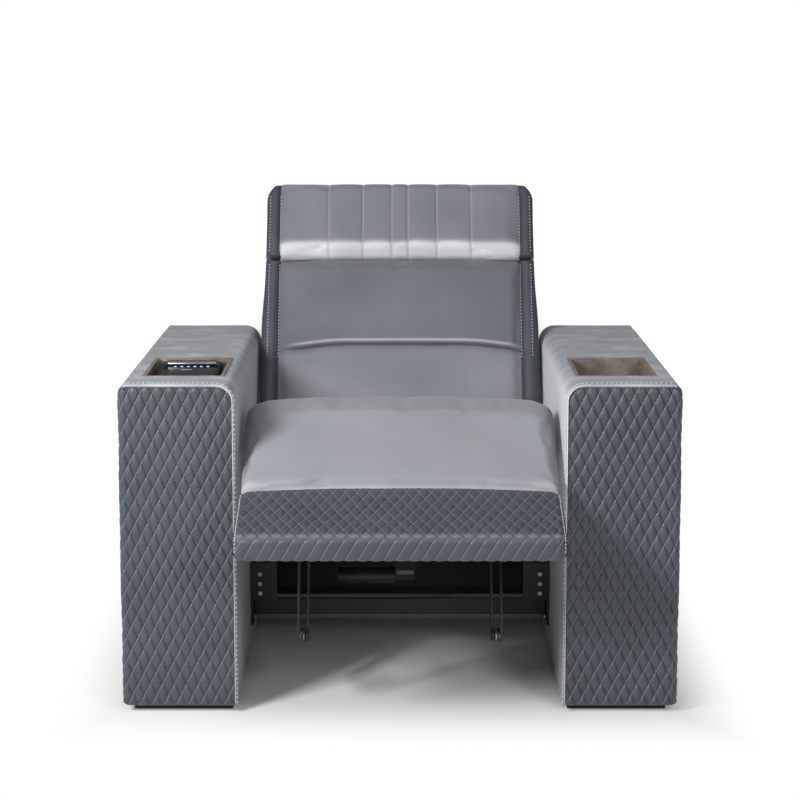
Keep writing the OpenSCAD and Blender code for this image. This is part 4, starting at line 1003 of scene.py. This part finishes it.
def band_form():
    """Quilted leather over the end of the footrest. A path goes from the seam along the top, round the nose
    and a little way under the board, and the quilting is counted along it; both ends roll down, and the seam
    bows forwards in its middle. Gives points, faces, the diamonds map, the path with its normals, and the
    crossed attribute and the painted highlight along the nose's ridge for the outer points."""
    path = spline([(SEAM_Y, SEAM_TOP), (SEAM_Y - 60, SEAM_TOP + 5), (NOSE_Y + 40, NOSE_TOP - 0.3),
                   (NOSE_Y + 10, NOSE_TOP - 1.2), (NOSE_Y + 2, NOSE_TOP - 5), (NOSE_Y, NOSE_TOP - 13),
                   (NOSE_Y + 0.5, BAND_LOW + 11), (NOSE_Y + 4, BAND_LOW + 2), (NOSE_Y + 13, BAND_LOW)], 120)
    step = np.gradient(path, axis=0)
    step /= np.linalg.norm(step, axis=1)[:, None]
    normal = np.stack([step[:, 1], -step[:, 0]], -1)
    run = run_of(path)[:, None]
    x = np.linspace(-BAND_HALF, BAND_HALF, 27 * 9 + 1)
    past_nose = run - NOSE_RUN

    edge = np.minimum(np.minimum(run, run[-1] - run), BAND_HALF - np.abs(x))
    stitched = smooth_step((BAND_HALF - 10 - np.abs(x)) / 4)
    crossed = 1 - smooth_step((past_nose + 3) / 6)
    calm = 1 - 0.55 * smooth_step((past_nose + 8) / 12)
    drop = quilting(x, run, crossed) * smooth_step(edge / 5) * smooth_step(run / 45) * stitched * calm
    ends = roll(x / BAND_HALF, BAND_ROLL, BAND_ROLL_SHARE)
    mouth = 3.5 * (1 - smooth_step(run / 8))
    depth = drop + ends + mouth + BAND_STITCH_DEEP * (1 - stitched)
    corner = smooth_step((np.abs(x) - BAND_HALF + 26) / 26) ** 2
    bow = (16 * (1 - (x / BAND_HALF) ** 2) - 15 * corner) * (1 - smooth_step(run / 110))
    y = path[:, :1] - normal[:, :1] * depth + bow
    z = path[:, 1:] - normal[:, 1:] * depth
    inner = xyz(x * 0.985, np.clip(y, NOSE_Y + 12, None), np.clip(z - 24, BAND_LOW + 2, BAND_LOW + 20))
    points, faces = backed_grid(xyz(x, y, z), inner)
    diamonds = np.stack(np.broadcast_arrays(x / DIAMOND_W, -run / DIAMOND_H), -1).reshape(-1, 2)
    # The ridge over the nose gets a painted highlight
    crossed, ridge_highlight = np.broadcast_arrays(crossed + 0 * x, 0.75 * bell((past_nose + 6) / 8))
    return on_footrest(points), turned_over(faces), diamonds, path, normal, crossed.ravel(), ridge_highlight.ravel()


def band_stitches(path, normal, side):
    """White stitches along one end of the band: its path, shifted to the end and sunk as the leather is."""
    x = side * (BAND_HALF - BAND_STITCH_IN)
    sunk = roll((BAND_HALF - BAND_STITCH_IN) / BAND_HALF, BAND_ROLL, BAND_ROLL_SHARE) + BAND_STITCH_DEEP
    line = path - normal * sunk
    up = xyz(side * 0.8, *turned(normal[:, 0], normal[:, 1], FOOTREST_DROP))
    return stitches(on_footrest(xyz(x, line[:, 0], line[:, 1]))[3:-8], up[3:-8])


points, faces, diamonds, band_path, band_normal, crossed, ridge_highlight = band_form()
band = new_piece("footrest_quilted_band", points, faces, BAND_LEATHER, "slate_leather", "footrest",
                 ("footrest_band",))
set_uv(band, "diamonds", diamonds)
set_attribute(band, "crossed", crossed)
set_attribute(band, "ridge_highlight", ridge_highlight)
ends = [band_stitches(band_path, band_normal, side) for side in (-1, 1)]
new_piece("footrest_band_stitching", *joined(*ends), WHITE_THREAD, "slate_leather", "footrest")


# Back

def pad_form(half, z0, z1, rear, front, roll_r, crown):
    """A back pad: rings across the back from its lower to its upper end, crowned across by the third power
    of the distance from the middle and rolled over at both ends, flat behind."""
    t = np.linspace(-1, 1, 60)[:, None]
    z = (z0 + z1) / 2 + (z1 - z0) / 2 * t
    u = np.sin(np.linspace(-math.pi / 2, math.pi / 2, 41))
    y = front + crown * np.abs(u) ** 3 + roll(t, roll_r, 2 * roll_r / (z1 - z0)) + roll(u, 9, 0.05)
    fronts = xyz(half * u, y, z)
    backs = xyz((half - 2) * np.linspace(1, -1, 15), rear, z)
    points, faces = tube(np.concatenate([fronts, backs], 1))
    return on_back(points), faces


# Lumbar and middle cushion, parted by one deep crease: where its middle lies, how far its ends dip, and
# how far the lip above it stands out, the crease is tucked in and the valley round it falls
CREASE_MIDDLE = 12
CREASE_DIP = 11
LIP, TUCK, VALLEY = 5, 9, 6
# How far the middle cushion is fuller in its own middle
FULLER = 5
back_cover = new_piece("back_velvet_cover",
                       *pad_form(VELVET_HALF - 2, -24, HEAD_LOW - 5, -28, FACE_Y + 5, roll_r=18, crown=5),
                       VELVET, "velvet")
blown_up(back_cover, voxel=6, pressure=2.5, cap=8)
local = unlean(coordinates(back_cover.data), BACK_HINGE, -BACK_TILT)
x, y, z = local.T
# Only the face is worked on. The crease dips towards both ends, and fades out near them.
facing = smooth_step((-60 - y) / 25)
across = np.abs(x - CREASE_MIDDLE)
above = z - (CREASE + 2 - CREASE_DIP * smooth_step((across - 110) / 150) ** 1.4)
reach = 1 - smooth_step((across - 215) / 50)
lip = LIP * bell((above - 8) / 6)
tuck = TUCK * bell(np.where(above <= 0, above / 2.6, above / 2.2))
valley = VALLEY * bell(above / 34)
folds = 1.6 * bell((above + 26) / 30) * waves(x * 0.35, z * 1.4, 44, 17)
local[:, 1] += facing * (reach * (tuck - lip) + 0.7 * valley * (0.5 + 0.5 * reach) + folds)
local[:, 1] -= facing * FULLER * bell((z - 285) / 60) * (1 - (x / 290) ** 2)
local[:, 1] += facing * 0.8 * waves(x, z, 140, 11)
set_coordinates(back_cover.data, on_back(local))
# Painted light: the lumbar cushion, which faces up, is painted lighter, the lip gets a painted highlight, and
# painted shade darkens the crease
lumbar_painted_light = smooth_step(-above / 20)
lit_lip = facing * 0.6 * reach * bell((above - 7.5) / 4)
set_attribute(back_cover, "pile_and_painted_light", 0.06 + 0.2 * lumbar_painted_light + lit_lip + 0.1 * waves(x, z, 220, 12))
set_attribute(back_cover, "crease", facing * (
    0.8 * reach * bell(above / 1.8) + 0.25 * (1 - reach) * bell(above / 2.0)))
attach(back_cover, "back")
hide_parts("lumbar_cushion", "middle_cushion")

# Seams of the headrest's channels, as distances from its middle, their depth, and how far a channel arches
CHANNEL_SEAMS = np.array([-154, -80, -17.7, 17.7, 80, 154])
CHANNEL_SEAM_DEPTH = 2.2
CHANNEL_ARCH = 2.6
head = new_piece("headrest_channelled_cover",
                 *pad_form(VELVET_HALF - 2, HEAD_LOW - 2, HEAD_TOP - 2, -51, FACE_Y + 5, roll_r=18, crown=4),
                 VELVET, "velvet")
blown_up(head, voxel=5, pressure=2.5, cap=7)
local = unlean(coordinates(head.data), BACK_HINGE, -BACK_TILT)
x, y, z = local.T
# Each channel arches between its two seams
facing = smooth_step((-56 - y) / 16)
nearest = np.abs(x[:, None] - CHANNEL_SEAMS).min(1)
channel_ends = np.concatenate([[-VELVET_HALF - 20], CHANNEL_SEAMS, [VELVET_HALF + 20]])
channel = np.clip(np.searchsorted(channel_ends, x) - 1, 0, len(channel_ends) - 2)
middle = (channel_ends[channel] + channel_ends[channel + 1]) / 2
width = (channel_ends[channel + 1] - channel_ends[channel]) / 2
arch = 1 - np.clip(np.abs(x - middle) / width, 0, 1) ** 2.5
local[:, 1] += facing * (CHANNEL_SEAM_DEPTH * bell(nearest / 2.6) + 1.6 - CHANNEL_ARCH * arch)
local[:, 1] += facing * 0.5 * waves(x, z, 110, 14)
set_coordinates(head.data, on_back(local))
# Painted highlights: the lower edge, which rolls towards the light, the top edge a little, and the channels' seams
# are painted pale; painted shade darkens the seams within the pale lower edge
low_roll_highlight = smooth_step((HEAD_LOW + 41 + 3 * waves(x, z, 80, 16) - z) / 20) * smooth_step((-52 - y) / 8)
top_roll_highlight = 0.2 * smooth_step((z - HEAD_TOP + 26) / 20)
lit_seams = 0.3 * facing * bell(nearest / 1.6) * (1 - low_roll_highlight)
set_attribute(head, "pile_and_painted_light", 0.2 + 0.7 * low_roll_highlight + lit_seams + top_roll_highlight + 0.1 * waves(x, z, 130, 15))
set_attribute(head, "crease", 0.3 * facing * low_roll_highlight * bell(nearest / 1.9))
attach(head, "headrest")
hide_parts("headrest_pad")


# Rear face of the back and of its leather, and the front of the leather above the velvet
REAR_FACE = 43
UPPER_FRONT = -34
# Radii of the leather's rounded front and rear edges, and of its front edge at the top
SIDE_FRONT_R, SIDE_REAR_R, SIDE_TOP_R = 15, 6, 22
# The sides swell by this much low down
SIDE_BULGE = 7


def side_leather(z0, z1, y_front, y_rear, top_round, seed, bulge=0, narrow_to=None, front_drop=0):
    """The leather boxing on one side of the back: its section goes from the velvet's seam round the front
    edge, along the side and a little way in at the rear, and is carried up the back. A rounded edge is
    r * sin, r * (1 - cos). top_round draws the top in by a quarter circle, and below the height narrow_to[0]
    the rear comes forward to narrow_to[1]."""
    z = np.linspace(z0, z1, 90)
    inner, outer = VELVET_HALF - 8, BACK_HALF
    rear = np.full(z.shape, float(y_rear))
    if narrow_to:
        z_step, y_step = narrow_to
        rear = y_step + (y_rear - y_step) * smooth_step((z - z_step) / 10)
    from_top = z1 - z
    shrink = top_round - np.sqrt(top_round ** 2 - np.clip(top_round - from_top, 0, top_round) ** 2)

    lead = steps(0, 1, 6)
    turn_in, turn_out = np.linspace(0, math.pi / 2, 12), np.linspace(0, math.pi / 2, 6)
    side = np.linspace(0, 1, 14)[1:-1]
    flank = outer - SIDE_FRONT_R
    xs = np.concatenate([
        inner + (flank - inner) * lead, flank + SIDE_FRONT_R * np.sin(turn_in),
        np.full(len(side), float(outer)), outer - SIDE_REAR_R + SIDE_REAR_R * np.cos(turn_out), [inner]])
    front_ys = np.concatenate([12 * (1 - lead) ** 3, SIDE_FRONT_R * (1 - np.cos(turn_in))]) + y_front
    side_start = y_front + SIDE_FRONT_R
    ys = np.concatenate([
        front_ys + 0 * z[:, None], side_start + (rear - SIDE_REAR_R - side_start)[:, None] * side,
        rear[:, None] - SIDE_REAR_R * (1 - np.sin(turn_out)), rear[:, None]], 1)

    puff = 0.8 * waves(ys, z[:, None], 90, seed)
    swell = bulge * smooth_step((385 - z) / 200) * smooth_step((z - z0) / 30)
    outward = np.clip((xs - inner) / (outer - inner), 0, 1)
    xs = xs + (puff + swell[:, None] - np.minimum(shrink, outer - inner - 1)[:, None]) * outward
    if top_round:
        fall = np.clip(SIDE_TOP_R - from_top, 0, SIDE_TOP_R)
        ys = np.maximum(ys, (y_front + SIDE_TOP_R - np.sqrt(SIDE_TOP_R ** 2 - fall ** 2))[:, None])
    down = front_drop * smooth_step((-62 - ys) / 37) * smooth_step(1 - from_top / 60)[:, None]
    points, faces = tube(xyz(xs, ys, z[:, None] - down))
    return on_back(points), faces


right = side_leather(30, HEAD_LOW - 4, FACE_Y + 6, REAR_FACE, 0, 21, SIDE_BULGE, (118, UPPER_FRONT), 9)
upper = side_leather(HEAD_LOW - 5, HEAD_TOP - 8, UPPER_FRONT, REAR_FACE, 34, 22)
boxing = new_piece("back_side_leather", *joined(right, upper, mirrored(*right), mirrored(*upper)), LEATHER,
                   "slate_leather", "back", ("back_side_boxing",))
wing_shape = side_leather(HEAD_LOW + 1, HEAD_TOP - 5, FACE_Y + 6, -40, 38, 23)
wing = new_piece("headrest_side_leather", *joined(wing_shape, mirrored(*wing_shape)), LEATHER,
                 "slate_leather", "headrest")


def back_panel():
    """Plain leather over the rear of the back, domed by 1 - u^6 and 1 - v^6 of a few millimetres."""
    u, v = np.meshgrid(np.linspace(-1, 1, 41), np.linspace(-1, 1, 61))
    z = (HEAD_TOP - 10 - 40) / 2 + (HEAD_TOP - 10 + 40) / 2 * v
    dome = 3.5 * (1 - u ** 6) * (1 - v ** 6)
    y = 40.5 + dome + 0.7 * waves(VELVET_HALF * u, z, 160, 31)
    points, faces = backed_grid(xyz(VELVET_HALF * u, y, z), xyz(VELVET_HALF * u, 37.2, z))
    return on_back(points), turned_over(faces)


def back_top():
    """The strip of leather over the top of the back, between the rear panel and the headrest. It is crowned
    by 1 - u^6 and falls by a square towards the rear."""
    u, v = np.meshgrid(np.linspace(-1, 1, 41), np.linspace(0, 1, 21))
    y = UPPER_FRONT + (REAR_FACE - UPPER_FRONT) * v
    z = HEAD_TOP - 9 + 3 * (1 - u ** 6) - 240 * np.clip(v - 0.85, 0, 1) ** 2
    points, faces = backed_grid(xyz(VELVET_HALF * u, y, z), xyz(VELVET_HALF * u, y, HEAD_TOP - 20))
    return on_back(points), faces


new_piece("back_rear_leather", *joined(back_panel(), back_top()), LEATHER, "slate_leather", "back",
          ("back_rear_cover",))


def front_of(piece, x, z):
    """How far forward a piece's surface lies at places on the back, looking within a few millimetres."""
    local = unlean(coordinates(piece.data), BACK_HINGE, -BACK_TILT)
    near = (np.abs(local[:, 0] - x) < 4) & (np.abs(local[:, 2] - z[:, None]) < 5)
    y = np.where(near, local[:, 1], np.inf).min(1)
    return np.where(np.isfinite(y), y, FACE_Y + 8)


def back_stitches(piece, side, x, z0, z1, aside, ahead, **thread):
    """Stitches up the back on a piece's surface, at side * x, that face by these shares aside and ahead."""
    z = np.linspace(z0, z1, 80)
    line = xyz(side * x, front_of(piece, side * x, z), z)
    up = on_back(line + np.array([side * aside, -ahead, 0])) - on_back(line)
    return stitches(on_back(line), up, **thread)


# White stitches along the outer leather edge, and grey ones in the velvet inside the seam
LEATHER_SEAM_X = BACK_HALF - 8
VELVET_SEAM_X = VELVET_HALF - 7
for body, z0, z1, edge_piece, face_piece in (("back", 150, HEAD_LOW - 18, boxing, back_cover),
                                             ("headrest", HEAD_LOW + 8, HEAD_TOP - 36, wing, head)):
    white = [back_stitches(edge_piece, side, LEATHER_SEAM_X, z0, z1, 0.5, 0.87, pitch=7.5, length=3.0, r=1.0)
             for side in (-1, 1)]
    new_piece(f"{body}_leather_stitching", *joined(*white), WHITE_THREAD, "slate_leather", body)
    grey = [back_stitches(face_piece, side, VELVET_SEAM_X, z0, z1, 0.0, 1.0, pitch=7.5, length=3.8, r=1.1)
            for side in (-1, 1)]
    new_piece(f"{body}_velvet_stitching", *joined(*grey), GREY_THREAD, "velvet", body)


# Floor, light and camera

# From here to there, in metres, the floor's shadow fades to plain white: to both sides and to the front
FADE_ASIDE = (0.44, 0.66)
FADE_AHEAD = (-0.28, -0.62)


def floor_finish():
    """A matt white studio floor that keeps the shadow near the seat and fades to plain white further out."""
    material = bpy.data.materials.new("studio_floor")
    material.use_nodes = True
    tree = material.node_tree
    tree.nodes.clear()
    place = add(tree, "SeparateXYZ", {"Vector": add(tree, "TexCoord").outputs["Object"]})
    aside = add(tree, "Math", {0: place.outputs["X"]}, operation="ABSOLUTE")
    beside = add(tree, "MapRange", {
        "Value": aside, "From Min": FADE_ASIDE[0], "From Max": FADE_ASIDE[1]},
        interpolation_type="SMOOTHSTEP")
    ahead = add(tree, "MapRange", {
        "Value": place.outputs["Y"], "From Min": FADE_AHEAD[0], "From Max": FADE_AHEAD[1]},
        interpolation_type="SMOOTHSTEP")
    fade = add(tree, "Math", {0: beside, 1: ahead}, operation="MAXIMUM")
    rays = add(tree, "LightPath")
    seen = add(tree, "Math", {0: rays.outputs["Is Camera Ray"], 1: rays.outputs["Is Glossy Ray"]},
               operation="MAXIMUM")
    mask = add(tree, "Math", {0: fade, 1: seen}, operation="MULTIPLY")
    matt = add(tree, "BsdfDiffuse", {"Color": srgb("#F4F4F4")})
    white = add(tree, "Emission", {"Color": (1, 1, 1, 1), "Strength": 1.0})
    add(tree, "OutputMaterial", {"Surface": add(tree, "MixShader", {0: mask, 1: matt, 2: white})})
    return material


FLOOR = 12
floor_mesh = bpy.data.meshes.new("studio_floor")
floor_mesh.from_pydata([(-FLOOR, -FLOOR, 0), (FLOOR, -FLOOR, 0), (FLOOR, FLOOR, 0), (-FLOOR, FLOOR, 0)],
                       [], [(0, 1, 2, 3)])
floor_mesh.materials.append(floor_finish())
floor = placed("studio_floor", floor_mesh)


def area_light(name, place, aim, size, power):
    """A square soft box that faces a point. Places and sizes are in metres, and the power in watts."""
    data = bpy.data.lights.new(name, "AREA")
    data.size = size
    data.energy = power
    lamp = placed(name, data)
    lamp.location = place
    lamp.rotation_euler = (Vector(aim) - Vector(place)).to_track_quat("-Z", "Y").to_euler()


SEAT_MIDDLE = (0, 0, 0.5)
area_light("left_soft_box", (-1.65, -2.05, 1.75), SEAT_MIDDLE, 0.7, 66)
area_light("right_soft_box", (1.2, -2.8, 1.5), SEAT_MIDDLE, 0.7, 18)
area_light("top_soft_box", (0, -0.5, 2.8), SEAT_MIDDLE, 1.4, 4)
area_light("front_strip", (0, -1.6, 2.5), (0, -0.2, 0.5), 0.5, 6)

# The camera sees a plain white studio, which lights the seat only a little
world = bpy.data.worlds.new("studio")
bpy.context.scene.world = world
world.use_nodes = True
tree = world.node_tree
tree.nodes.clear()
dim = add(tree, "Background", {"Color": (1, 1, 1, 1), "Strength": 0.2})
bright = add(tree, "Background", {"Color": (1, 1, 1, 1), "Strength": 1.0})
rays = add(tree, "LightPath")
seen = add(tree, "Math", {0: rays.outputs["Is Camera Ray"], 1: rays.outputs["Is Transmission Ray"]},
           operation="MAXIMUM")
add(tree, "OutputWorld", {"Surface": add(tree, "MixShader", {0: seen, 1: dim, 2: bright})})

# Camera that matches the photograph: its focal length in pixels of an 800 pixel frame, place and pitch
FOCAL_PX = 2288
FRAME_PX = 800
SENSOR_WIDTH = 36
CAMERA_AHEAD = 4104
CAMERA_HEIGHT = 1242
CAMERA_PITCH = 9.04
camera_data = bpy.data.cameras.new("camera")
camera_data.sensor_width = SENSOR_WIDTH
camera_data.lens = SENSOR_WIDTH * FOCAL_PX / FRAME_PX
camera = placed("camera", camera_data)
camera.location = (0, (FRONT_Y - CAMERA_AHEAD) * MM, CAMERA_HEIGHT * MM)
camera.rotation_euler = (math.radians(90 - CAMERA_PITCH), 0, 0)
bpy.context.scene.camera = camera
bpy.context.scene.view_settings.view_transform = "Standard"
